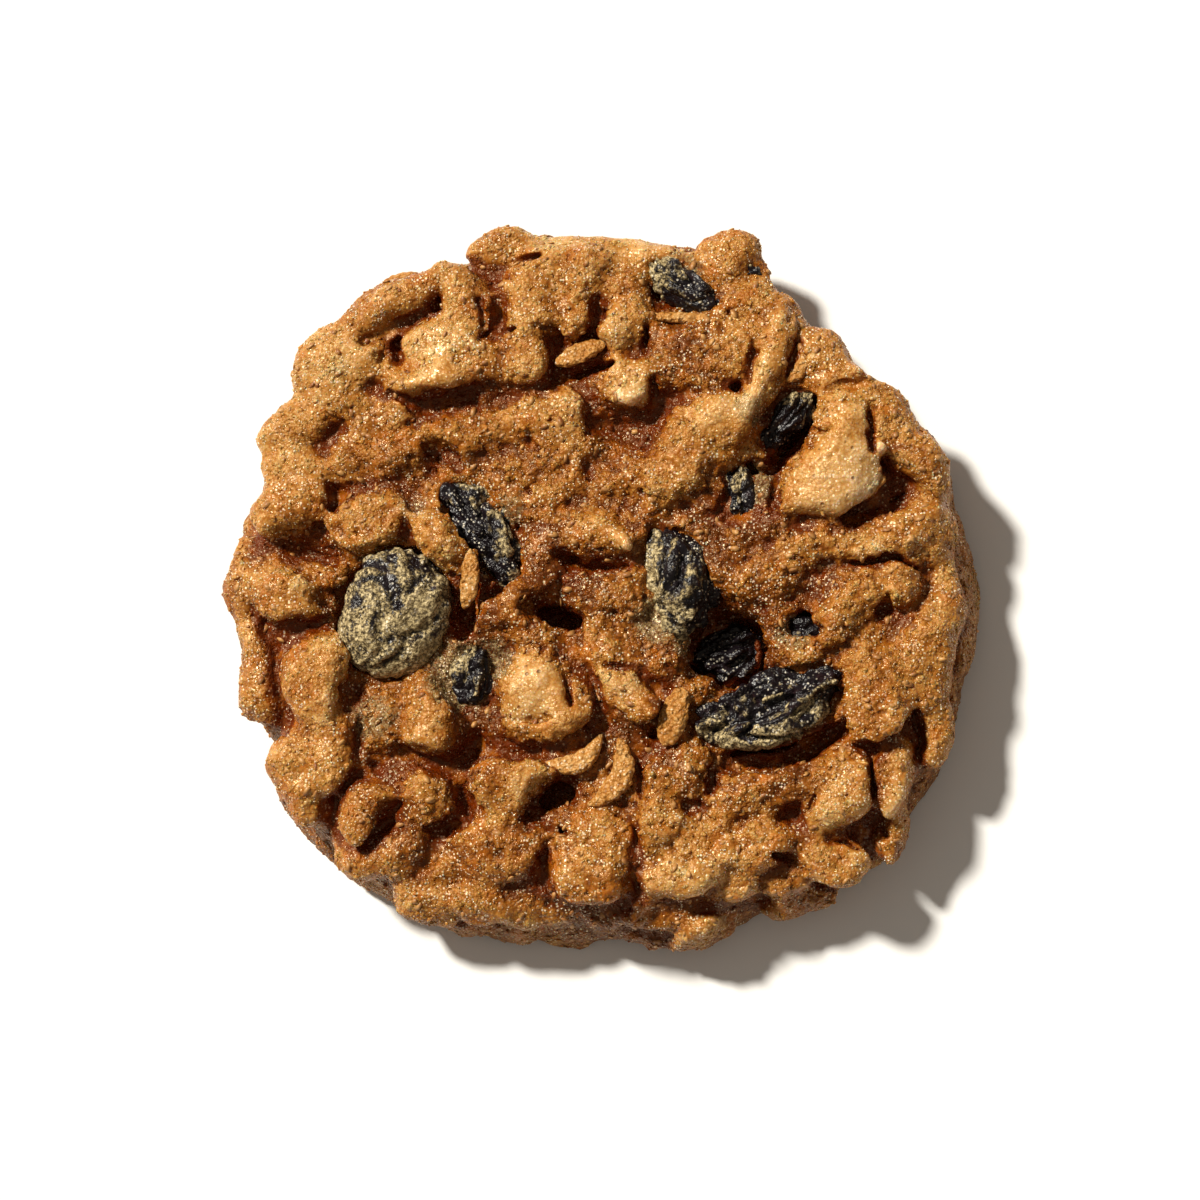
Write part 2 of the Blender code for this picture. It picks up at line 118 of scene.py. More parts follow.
Link = Value | float | int | bool | str | tuple | bpy.types.ID | None


class Tree:
    """A node tree, with short ways to add nodes and join them."""

    def __init__(self, tree: bpy.types.NodeTree) -> None:
        """Takes over a shader or geometry tree."""
        self.tree = tree

    def node(self, kind: str, inputs: dict[str | int, Link] | None = None, **settings: Any) -> Any:
        """Adds a node.

        Args:
            kind: The node's type.
            inputs: What goes into each of its sockets: another node's value, or a plain one.
            **settings: The node's own properties.

        Returns:
            The node.
        """
        node = self.tree.nodes.new(kind)
        for name, value in settings.items():
            setattr(node, name, value)
        for name, value in (inputs or {}).items():
            self.feed(node.inputs[name], value)
        return node

    def feed(self, socket: bpy.types.NodeSocket, value: Link) -> None:
        """Joins a socket to another one, or sets its value."""
        if isinstance(value, Value):
            self.tree.links.new(value.socket, socket)
        elif value is not None:
            socket.default_value = value

    def value(
        self, kind: str, inputs: dict[str | int, Link] | None = None, output: str | int = 0, **settings: Any,
    ) -> Value:
        """Adds a node, and gives what one of its outputs puts out."""
        return Value(self, self.node(kind, inputs, **settings).outputs[output])

    def math(self, operation: str, first: Link, second: Link = None, clamp: bool = False) -> Value:
        """A sum of two values.

        Args:
            operation: Blender's name for it, such as MULTIPLY.
            first: The first value.
            second: The second value, where there is one.
            clamp: Whether the result is kept between 0 and 1.

        Returns:
            The result.
        """
        return self.value("ShaderNodeMath", {0: first, 1: second}, operation=operation, use_clamp=clamp)

    def remap(self, value: Link, low: float, high: float, to_low: Link, to_high: Link) -> Value:
        """A value's range, moved to another range with soft ends.

        Args:
            value: The value.
            low: Where its range starts.
            high: Where its range ends.
            to_low: What low becomes.
            to_high: What high becomes.

        Returns:
            The result.
        """
        inputs = {0: value, 1: low, 2: high, 3: to_low, 4: to_high}
        return self.value("ShaderNodeMapRange", inputs, interpolation_type="SMOOTHSTEP")

    def vector(self, operation: str, first: Link, second: Link = None) -> Value:
        """A sum of two vectors."""
        return self.value("ShaderNodeVectorMath", {0: first, 1: second}, operation=operation)

    def scaled(self, vector: Link, factor: Link) -> Value:
        """A vector made longer by a factor."""
        return self.value("ShaderNodeVectorMath", {0: vector, "Scale": factor}, operation="SCALE")

    def mix(self, share: Link, first: Link, second: Link) -> Value:
        """Two colours mixed.

        Args:
            share: How much of the second.
            first: The first colour.
            second: The second colour.

        Returns:
            The colour.
        """
        return self.value("ShaderNodeMix", {0: share, 6: first, 7: second}, 2, data_type="RGBA")

    def ramp(self, value: Link, *stops: tuple[float, tuple]) -> Value:
        """A run of colours.

        Args:
            value: The place along it, 0 to 1.
            *stops: Places and their colours.

        Returns:
            The colour.
        """
        node = self.node("ShaderNodeValToRGB", {0: value})
        band = node.color_ramp
        while len(band.elements) < len(stops):
            band.elements.new(1.0)
        for element, (place, colour) in zip(band.elements, stops):
            element.position = place
            element.color = colour
        return Value(self, node.outputs[0])

    def noise(self, where: Link, size: float, detail: float = 2.0, rough: float = 0.5) -> Value:
        """Soft random values, about 0.5.

        Args:
            where: The place.
            size: How far apart its blobs are, in millimetres.
            detail: How many finer layers it has.
            rough: How strong those are.

        Returns:
            The value.
        """
        inputs = {"Vector": where, "Scale": 1 / (size * MM), "Detail": detail, "Roughness": rough}
        return self.value("ShaderNodeTexNoise", inputs)

    def place(self) -> Value:
        """A point's place on its piece, in a material."""
        return self.value("ShaderNodeTexCoord", output="Object")

    def stored(self, name: str) -> Value:
        """A value painted on the mesh, in a material."""
        return self.value("ShaderNodeAttribute", output="Fac", attribute_name=name)

    def effect(self, group: "Group", inputs: dict[str, Link]) -> dict[str, Value]:
        """Places a shared effect in a material, and gives its outputs by name."""
        node = self.node("ShaderNodeGroup", inputs, node_tree=group.tree)
        return {socket.name: Value(self, socket) for socket in node.outputs}


FLOAT, COLOUR, VECTOR = "NodeSocketFloat", "NodeSocketColor", "NodeSocketVector"
GEOMETRY, MATERIAL, WHOLE = "NodeSocketGeometry", "NodeSocketMaterial", "NodeSocketInt"
Takes = dict[str, tuple[str, Any]]


class Group(Tree):
    """A node group with named inputs and outputs."""

    def __init__(self, name: str, kind: str, takes: Takes, gives: dict[str, str]) -> None:
        """Makes its sockets.

        Args:
            name: The group's name.
            kind: ShaderNodeTree or GeometryNodeTree.
            takes: Each input's socket type and first value.
            gives: Each output's socket type.
        """
        super().__init__(bpy.data.node_groups.new(name, kind))
        sockets = self.tree.interface
        for label, socket in gives.items():
            sockets.new_socket(label, in_out="OUTPUT", socket_type=socket)
        for label, (socket, value) in takes.items():
            made = sockets.new_socket(label, in_out="INPUT", socket_type=socket)
            if value is not None:
                made.default_value = value
        self.taken = self.node("NodeGroupInput")
        self.given = self.node("NodeGroupOutput")

    def take(self, name: str) -> Value:
        """What comes in at one of the inputs."""
        return Value(self, self.taken.outputs[name])

    def give(self, name: str, value: Link) -> None:
        """Puts a value out."""
        self.feed(self.given.inputs[name], value)


class Shaping(Group):
    """A geometry tree that changes a piece, sets its material and is run as a modifier."""

    def __init__(self, name: str, takes: Takes) -> None:
        """Makes its sockets: Geometry, Material and those in takes."""
        takes = {"Geometry": (GEOMETRY, None), **takes, "Material": (MATERIAL, None)}
        super().__init__(name, "GeometryNodeTree", takes, {"Geometry": GEOMETRY})

    def read(self, name: str) -> Value:
        """A value painted on the mesh."""
        return self.value("GeometryNodeInputNamedAttribute", {"Name": name}, data_type="FLOAT")

    def moved(self, geometry: Link, offset: Link) -> Value:
        """Geometry whose points are moved."""
        return self.value("GeometryNodeSetPosition", {"Geometry": geometry, "Offset": offset})

    def outward(self, far: Link) -> Value:
        """A step along each point's normal."""
        return self.scaled(self.value("GeometryNodeInputNormal"), far)

    def finish(self, geometry: Link) -> None:
        """Sets the material on the geometry and puts it out."""
        inputs = {"Geometry": geometry, "Material": self.take("Material")}
        self.give("Geometry", self.value("GeometryNodeSetMaterial", inputs))

    def run(self, piece: bpy.types.Object, values: dict[str, Any]) -> None:
        """Hangs the tree on a piece as a modifier, with its named inputs set.

        Args:
            piece: The object.
            values: The value of each named input.
        """
        modifier = piece.modifiers.new(self.tree.name, "NODES")
        modifier.node_group = self.tree
        for socket in self.tree.interface.items_tree:
            if socket.item_type == "SOCKET" and socket.in_out == "INPUT" and socket.name in values:
                modifier[socket.identifier] = values[socket.name]


# ---------------------------------------------------------------- meshes


def new_piece(name: str, mesh: bpy.types.Mesh) -> bpy.types.Object:
    """An object for a mesh, in the scene."""
    mesh.name = name
    piece = bpy.data.objects.new(name, mesh)
    bpy.context.scene.collection.objects.link(piece)
    return piece


def mesh_of(name: str, points: np.ndarray, quads: np.ndarray) -> bpy.types.Mesh:
    """A mesh from arrays.

    Args:
        name: The mesh's name.
        points: Places in millimetres, one row each.
        quads: Four point numbers a row.

    Returns:
        The mesh, in metres.
    """
    mesh = bpy.data.meshes.new(name)
    mesh.vertices.add(len(points))
    mesh.vertices.foreach_set("co", (points * MM).astype(np.float32).ravel())
    mesh.loops.add(quads.size)
    mesh.loops.foreach_set("vertex_index", quads.astype(np.int32).ravel())
    mesh.polygons.add(len(quads))
    mesh.polygons.foreach_set("loop_start", np.arange(0, quads.size, 4, dtype=np.int32))
    mesh.update(calc_edges=True)
    return mesh


def points_of(mesh: bpy.types.Mesh) -> np.ndarray:
    """A mesh's points in millimetres."""
    flat = np.empty(len(mesh.vertices) * 3, np.float32)
    mesh.vertices.foreach_get("co", flat)
    return flat.reshape(-1, 3) / MM


def normals_of(mesh: bpy.types.Mesh) -> np.ndarray:
    """The way each point of a mesh faces."""
    flat = np.empty(len(mesh.vertices) * 3, np.float32)
    mesh.vertices.foreach_get("normal", flat)
    return flat.reshape(-1, 3)


def paint(mesh: bpy.types.Mesh, name: str, values: np.ndarray) -> None:
    """Stores a value at each point of a mesh, for its material to read."""
    layer = mesh.attributes.get(name) or mesh.attributes.new(name, "FLOAT", "POINT")
    layer.data.foreach_set("value", values.astype(np.float32))


def baked(piece: bpy.types.Object) -> None:
    """Makes the modifiers' result the piece's own mesh, shaded smooth, and takes the modifiers off."""
    bpy.context.view_layer.update()
    graph = bpy.context.evaluated_depsgraph_get()
    mesh = bpy.data.meshes.new_from_object(piece.evaluated_get(graph))
    piece.modifiers.clear()
    piece.data = mesh
    mesh.shade_smooth()


def copy_of_node(node: str, name: str) -> bpy.types.Object:
    """A new piece with a frame node's shape, its loose triangles joined."""
    bm = bmesh.new()
    bm.from_mesh(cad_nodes()[node].data)
    bmesh.ops.remove_doubles(bm, verts=bm.verts, dist=0.002 * MM)
    mesh = bpy.data.meshes.new(name)
    bm.to_mesh(mesh)
    bm.free()
    return new_piece(name, mesh)


def rounded_copy(node: str, name: str, voxel: float, rounds: int) -> bpy.types.Object:
    """A new piece with a frame node's shape, in even small faces with softened edges.

    Args:
        node: The frame node.
        name: The piece's name.
        voxel: The size of its faces, in millimetres.
        rounds: How many times it is softened.

    Returns:
        The piece, with its modifiers live.
    """
    piece = copy_of_node(node, name)
    remesh = piece.modifiers.new("remesh", "REMESH")
    remesh.mode = "VOXEL"
    remesh.voxel_size = voxel * MM
    soft = piece.modifiers.new("soft", "SMOOTH")
    soft.iterations = rounds
    return piece


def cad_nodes() -> dict[str, bpy.types.Object]:
    """The frame's nodes by name."""
    return FRAME["nodes"]


# ---------------------------------------------------------------- dough as a field of distances


class Cloud:
    """Soft random values that fill space."""

    SIDE = 32

    def __init__(self, seed: int) -> None:
        """Draws the values.

        Args:
            seed: The same seed gives the same cloud.
        """
        self.values = np.random.default_rng(seed).uniform(-1, 1, (self.SIDE,) * 3).astype(np.float32)

    def at(self, where: Sequence[np.ndarray], size: float) -> np.ndarray:
        """The values at some places.

        Args:
            where: Arrays of X, Y and Z.
            size: How far apart the blobs are.

        Returns:
            Values from -1 to 1.
        """
        low, shares = [], []
        for axis in where:
            scaled = axis / size
            whole = np.floor(scaled)
            share = scaled - whole
            shares.append(share * share * share * (share * (share * 6 - 15) + 10))
            low.append(whole.astype(np.int64) % self.SIDE)
        total = np.zeros(np.broadcast(*where).shape, np.float32)
        for corner in range(8):
            pick, weight = [], 1.0
            for axis in range(3):
                far = corner >> axis & 1
                pick.append((low[axis] + far) % self.SIDE)
                weight = weight * (shares[axis] if far else 1 - shares[axis])
            total += self.values[pick[0], pick[1], pick[2]] * weight
        return total


class Solid:
    """A frame node as a solid that distances can be measured to."""

    def __init__(self, node: str) -> None:
        """Reads the node.

        Args:
            node: Its name.
        """
        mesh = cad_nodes()[node].data
        mesh.calc_loop_triangles()
        corners = np.empty(len(mesh.loop_triangles) * 3, np.int32)
        mesh.loop_triangles.foreach_get("vertices", corners)
        self.points = points_of(mesh)
        self.tree = BVHTree.FromPolygons(self.points.tolist(), corners.reshape(-1, 3).tolist())

    def crossings(self, x: float, y: float, top: float) -> list[float]:
        """The heights at which an upright line passes through the solid's skin, from the top down."""
        heights = []
        start = Vector((x + 0.00137, y + 0.00211, top))
        while True:
            hit = self.tree.ray_cast(start, Vector((0, 0, -1)))[0]
            if hit is None:
                return heights
            heights.append(hit.z)
            start = Vector((start.x, start.y, hit.z - 1e-4))

    def distances(self, xs: np.ndarray, ys: np.ndarray, zs: np.ndarray) -> np.ndarray:
        """How far the points of a grid are from the skin, less than 0 inside.

        Args:
            xs: The grid's places along X.
            ys: The grid's places along Y.
            zs: The grid's places along Z.

        Returns:
            An array with one value for each point.
        """
        result = np.empty((len(xs), len(ys), len(zs)), np.float32)
        for i, x in enumerate(xs):
            for j, y in enumerate(ys):
                skin = self.crossings(x, y, zs[-1] + 1)
                for k, z in enumerate(zs):
                    away = self.tree.find_nearest((x, y, z))[3]
                    inside = sum(height > z for height in skin) % 2
                    result[i, j, k] = -away if inside else away
        return result


class Crown(NamedTuple):
    """How the dough's top is made thicker, by rise.

    It starts and is whole at the heights of shoulder, and fades between the two distances from the
    middle of edge. Between the heights of summit it turns into thinning, by thinning times rise.
    """

    rise: float = 0.45
    shoulder: tuple[float, float] = (7.0, 9.0)
    edge: tuple[float, float] = (32.0, 37.0)
    summit: tuple[float, float] = (10.4, 12.8)
    thinning: float = 2.8


class Clay:
    """A block of clay: a grid of points, each with its distance to the clay's skin, less than 0 inside."""

    def __init__(self, low: Sequence[float], high: Sequence[float], step: float) -> None:
        """Sets out the grid.

        Args:
            low: The block's lowest corner.
            high: The block's highest corner.
            step: The distance between its points.
        """
        self.step = step
        self.axes = [np.arange(a, b + step, step, dtype=np.float32) for a, b in zip(low, high)]
        self.shape = tuple(len(axis) for axis in self.axes)
        self.grid = np.meshgrid(*self.axes, indexing="ij", sparse=True)
        self.places = [np.broadcast_to(axis, self.shape) for axis in self.grid]
        self.away = np.full(self.shape, 9.0, np.float32)
        self.tone = np.zeros(self.shape, np.float32)
        self.lift = np.zeros(self.shape, np.float32)

    def stir(self, size: float, reach: float, seed: int) -> None:
        """Bends space, so that what is added later comes out uneven.

        Args:
            size: How far apart the bends are.
            reach: How far they move a point sideways at most. They lift and lower it less.
            seed: The same seed gives the same bends.
        """
        straight = [axis[:] for axis in self.places]
        reaches = (reach, reach, 0.4 * reach)
        self.places = [
            axis + far * Cloud(seed + number).at(straight, size)
            for number, (axis, far) in enumerate(zip(straight, reaches))
        ]

    def roughen(self, size: float, reach: float, seed: int) -> None:
        """Swells and shrinks the clay's skin here and there.

        Args:
            size: How far apart the swellings are.
            reach: How far they stand out at most.
            seed: The same seed gives the same swellings.
        """
        straight = [np.broadcast_to(axis, self.shape) for axis in self.grid]
        self.away = self.away + reach * Cloud(seed).at(straight, size)

    def soften(self, rounds: int) -> None:
        """Rounds off every edge and crease of the clay's skin, a little more with each round."""
        for _ in range(rounds):
            for axis in range(3):
                away = np.moveaxis(self.away, axis, 0)
                away[1:-1] = 0.25 * (away[:-2] + away[2:]) + 0.5 * away[1:-1]

    def deepen(self, size: float, share: float) -> None:
        """Makes lumps stand out and valleys sink, and keeps how far each place stands out in lift.

        Args:
            size: The size of the forms that are made stronger.
            share: How much stronger they become.
        """
        width = 2 * int(size / self.step / 2) + 1
        even = self.away
        for _ in range(2):
            for axis in range(3):
                edges = [(0, 0)] * 3
                edges[axis] = (width // 2 + 1, width // 2)
                total = np.cumsum(np.pad(even, edges, mode="edge"), axis, dtype=np.float64)
                total = np.moveaxis(total, axis, 0)
                even = np.moveaxis((total[width:] - total[:-width]) / width, 0, axis).astype(np.float32)
        self.lift = even - self.away
        self.away = self.away - share * self.lift

    def raise_crown(self, crown: "Crown") -> None:
        """Thickens the clay's top, and thins its highest places so that there is room for flakes on them."""
        x, y, z = self.grid
        share = smooth_step(*crown.shoulder, z) * (1 - smooth_step(*crown.edge, np.hypot(x, y)))
        share = share * (1 - crown.thinning * smooth_step(*crown.summit, z))
        self.away = self.away - (crown.rise * share).astype(np.float32)

    def start_from(self, solid: Solid, coarse: float) -> None:
        """Fills the block with a solid.

        Args:
            solid: The solid.
            coarse: The step at which it is measured; between, the distances are smoothed.
        """
        rough_axes = [
            np.arange(axis[0] - 2 * coarse, axis[-1] + 3 * coarse, coarse) for axis in self.axes
        ]
        values = solid.distances(*rough_axes)
        for number, (axis, rough) in enumerate(zip(self.axes, rough_axes)):
            values = np.moveaxis(np.tensordot(spline_weights(axis, rough), values, (1, number)), 0, number)
        self.away = values.astype(np.float32)

    def window(self, centre: Sequence[float], reach: float) -> tuple[slice, ...]:
        """The part of the grid within a distance of a point."""
        spans = []
        for axis, middle in zip(self.axes, centre):
            first = np.searchsorted(axis, middle - reach)
            last = np.searchsorted(axis, middle + reach)
            spans.append(slice(int(first), int(last)))
        return tuple(spans)

    def add(self, shape: "Lump | Bed", melt: float) -> None:
        """Presses a shape onto the clay.

        Args:
            shape: The shape.
            melt: How wide the fillet is where they meet.
        """
        part = self.window(shape.centre, shape.reach + melt + 2)
        new = shape.distance([axis[part] for axis in self.places])
        old = self.away[part]
        mixed = np.clip(0.5 + 0.5 * (old - new) / melt, 0, 1)
        self.tone[part] += (shape.tone - self.tone[part]) * mixed
        self.away[part] = old + (new - old) * mixed - melt * mixed * (1 - mixed)

    def cut(self, shape: "Crack | Bed", melt: float) -> None:
        """Takes a shape out of the clay.

        Args:
            shape: The shape.
            melt: How wide the rounding is at the cut's lips.
        """
        part = self.window(shape.centre, shape.reach + melt + 2)
        new = -shape.distance([axis[part] for axis in self.places])
        old = self.away[part]
        mixed = np.clip(0.5 - 0.5 * (old - new) / melt, 0, 1)
        self.away[part] = old + (new - old) * mixed + melt * mixed * (1 - mixed)

    def level(self) -> None:
        """Cuts the clay off flat at height 0."""
        self.away = np.maximum(self.away, -self.grid[2])

    def crest(self, x: float, y: float) -> float:
        """The height of the clay's top at a place."""
        i = int(np.clip(np.searchsorted(self.axes[0], x), 0, self.shape[0] - 1))
        j = int(np.clip(np.searchsorted(self.axes[1], y), 0, self.shape[1] - 1))
        solid = np.nonzero(self.away[i, j] < 0)[0]
        return float(self.axes[2][solid[-1]]) if len(solid) else 0.0

    def sample(self, values: np.ndarray, points: np.ndarray) -> np.ndarray:
        """A grid's values at any points, evened out between the grid's own points.

        Args:
            values: An array of the grid's shape.
            points: One place a row.

        Returns:
            One value for each place.
        """
        low = np.array([axis[0] for axis in self.axes])
        scaled = (points - low) / self.step
        scaled = np.clip(scaled, 0, np.array(self.shape) - 1.001)
        whole = scaled.astype(np.int64)
        share = (scaled - whole).astype(np.float32)
        total = np.zeros(len(points), np.float32)
        for corner in range(8):
            far = [corner >> axis & 1 for axis in range(3)]
            weight = np.ones(len(points), np.float32)
            for axis in range(3):
                weight *= share[:, axis] if far[axis] else 1 - share[:, axis]
            total += weight * values[whole[:, 0] + far[0], whole[:, 1] + far[1], whole[:, 2] + far[2]]
        return total

    def skin(self) -> tuple[np.ndarray, np.ndarray]:
        """The clay's skin: one point in each cell that the skin passes through.

        Returns:
            Points in millimetres, and faces of four points each, which face outwards.
        """
        inside = self.away < 0
        cells = tuple(n - 1 for n in self.shape)
        low = np.array([axis[0] for axis in self.axes])
        owners, places, sides = [], [], []
        for axis in range(3):
            near = [slice(None)] * 3
            far = [slice(None)] * 3
            near[axis], far[axis] = slice(None, -1), slice(1, None)
            near, far = tuple(near), tuple(far)
            crossed = np.argwhere(inside[near] != inside[far])
            one, two = (axis + 1) % 3, (axis + 2) % 3
            safe = (crossed[:, one] > 0) & (crossed[:, two] > 0)
            safe &= (crossed[:, one] < cells[one]) & (crossed[:, two] < cells[two])
            crossed = crossed[safe]
            index = tuple(crossed.T)
            start, end = self.away[near][index], self.away[far][index]
            point = crossed.astype(np.float64)
            point[:, axis] += start / (start - end)
            ring = []
            for back_one, back_two in ((1, 1), (0, 1), (0, 0), (1, 0)):
                cell = crossed.copy()
                cell[:, one] -= back_one
                cell[:, two] -= back_two
                ring.append(np.ravel_multi_index(tuple(cell.T), cells))
            quad = np.stack(ring, 1)
            leaving = inside[near][index]
            quad[~leaving] = quad[~leaving][:, ::-1]
            sides.append(quad)
            for column in range(4):
                owners.append(quad[:, column])
                places.append(point)
        quads = np.concatenate(sides)
        owner = np.concatenate(owners)
        place = np.concatenate(places)
        used, number = np.unique(owner, return_inverse=True)
        count = np.bincount(number)
        points = np.stack([np.bincount(number, place[:, axis]) / count for axis in range(3)], 1)
        return low + points * self.step, np.searchsorted(used, quads)


def spline_weights(fine: np.ndarray, rough: np.ndarray) -> np.ndarray:
    """How much each of a rough row's values counts at each place of a fine row.

    Args:
        fine: Places to work out.
        rough: Evenly spaced places with known values.

    Returns:
        One row for each fine place, whose weights add up to 1.
    """
    place = (fine[:, None] - rough[None, :]) / (rough[1] - rough[0])
    near = np.abs(place)
    inner = 2 / 3 - near**2 + near**3 / 2
    outer = (2 - near) ** 3 / 6
    return np.where(near < 1, inner, np.where(near < 2, outer, 0)).astype(np.float32)


class Lump(NamedTuple):
    """A flake or lump that lies in the dough.

    x, y is its place and top its crest's height. turn is the way its length runs, and its upper face
    leans by tip degrees towards the clock angle toward. bow bends its ends sideways, curl lifts its long
    edges, and crisp is 1 for a thin flake with clean edges and 0 for a soft lump. tone is 0 for caramel
    and 1 for pale oat.
    """

    x: float
    y: float
    top: float
    long: float
    wide: float
    thick: float
    turn: float = 0
    tip: float = 0
    toward: float = 0
    tone: float = 0.5
    bow: float = 0
    curl: float = 0
    crisp: float = 0.5

    @property
    def centre(self) -> tuple[float, float, float]:
        """Its middle."""
        return self.x, self.y, self.top - self.thick / 2

    @property
    def reach(self) -> float:
        """How far its ends are from its middle."""
        return self.long / 2 + abs(self.bow) + abs(self.curl)

    def turned(self) -> np.ndarray:
        """Its own three directions, one a row."""
        toward = math.radians(self.toward)
        hinge = Vector((-math.sin(toward), math.cos(toward), 0))
        tip = Matrix.Rotation(math.radians(self.tip), 3, hinge)
        turn = Matrix.Rotation(math.radians(self.turn), 3, "Z")
        return np.array((tip @ turn).transposed(), np.float32)

    def distance(self, places: Sequence[np.ndarray]) -> np.ndarray:
        """How far places are from its skin, less than 0 inside.

        Args:
            places: Arrays of X, Y and Z.

        Returns:
            An array of distances.
        """
        x, y, z = (axis - middle for axis, middle in zip(places, self.centre))
        along, across, up = (row[0] * x + row[1] * y + row[2] * z for row in self.turned())
        half_long, half_wide, half_thick = self.long / 2, self.wide / 2, self.thick / 2
        crisp = 0.75 * self.crisp
        across = across - self.bow * (2 * (along / half_long) ** 2 - 1)
        up = up - self.curl * np.minimum((across / half_wide) ** 2, 1.5)
        around = np.arctan2(across * half_long, along * half_wide)
        seed = self.x * 3.1 + self.y * 1.7
        ragged = 1 + 0.08 * np.cos(2 * around + seed) + 0.07 * np.cos(3 * around + 2 * seed)
        ragged += 0.05 * np.cos(5 * around + 3 * seed)
        along, across = along / ragged, across / ragged
        reach = np.sqrt((along / half_long) ** 2 + (across / half_wide) ** 2) + 1e-6
        slope = np.sqrt((along / half_long**2) ** 2 + (across / half_wide**2) ** 2) + 1e-6
        edge = reach * (reach - 1) / slope
        crown = half_thick * (1 - (0.75 - 0.5 * crisp) * np.minimum(reach, 1) ** 2)
        face = np.abs(up) - crown
        rounding = half_thick * (0.9 - 0.5 * crisp)
        edge, face = edge + rounding, face + rounding
        outside = np.sqrt(np.maximum(edge, 0) ** 2 + np.maximum(face, 0) ** 2)
        return np.minimum(np.maximum(edge, face), 0) + outside - rounding


class Crack(NamedTuple):
    """A gap in the dough, from one place to another, open at the top.

    wide is its width and deep how far its bottom is below the dough round it. floor is the height of its
    bottom, worked out when it is cut.
    """

    x: float
    y: float
    end_x: float
    end_y: float
    wide: float
    deep: float
    floor: float = 0

    @property
    def centre(self) -> tuple[float, float, float]:
        """Its middle."""
        return (self.x + self.end_x) / 2, (self.y + self.end_y) / 2, self.floor + self.deep / 2

    @property
    def reach(self) -> float:
        """How far its ends are from its middle."""
        return math.hypot(self.end_x - self.x, self.end_y - self.y) / 2 + self.wide + self.deep / 2 + 1

    def distance(self, places: Sequence[np.ndarray]) -> np.ndarray:
        """How far places are from its walls, less than 0 inside the gap.

        Args:
            places: Arrays of X, Y and Z.

        Returns:
            An array of distances.
        """
        run_x, run_y = self.end_x - self.x, self.end_y - self.y
        length = max(run_x * run_x + run_y * run_y, 1e-6)
        from_x, from_y = places[0] - self.x, places[1] - self.y
        share = np.clip((from_x * run_x + from_y * run_y) / length, 0, 1)
        beside = np.hypot(from_x - share * run_x, from_y - share * run_y)
        end = (2 * share - 1) ** 2
        above = np.clip((places[2] - self.floor) / self.deep, 0, 1.2)
        half = self.wide / 2 * (1 - 0.5 * end) * (0.35 + 0.65 * above)
        floor = self.floor + 0.5 * self.deep * end
        return np.maximum(beside - half, floor - places[2])


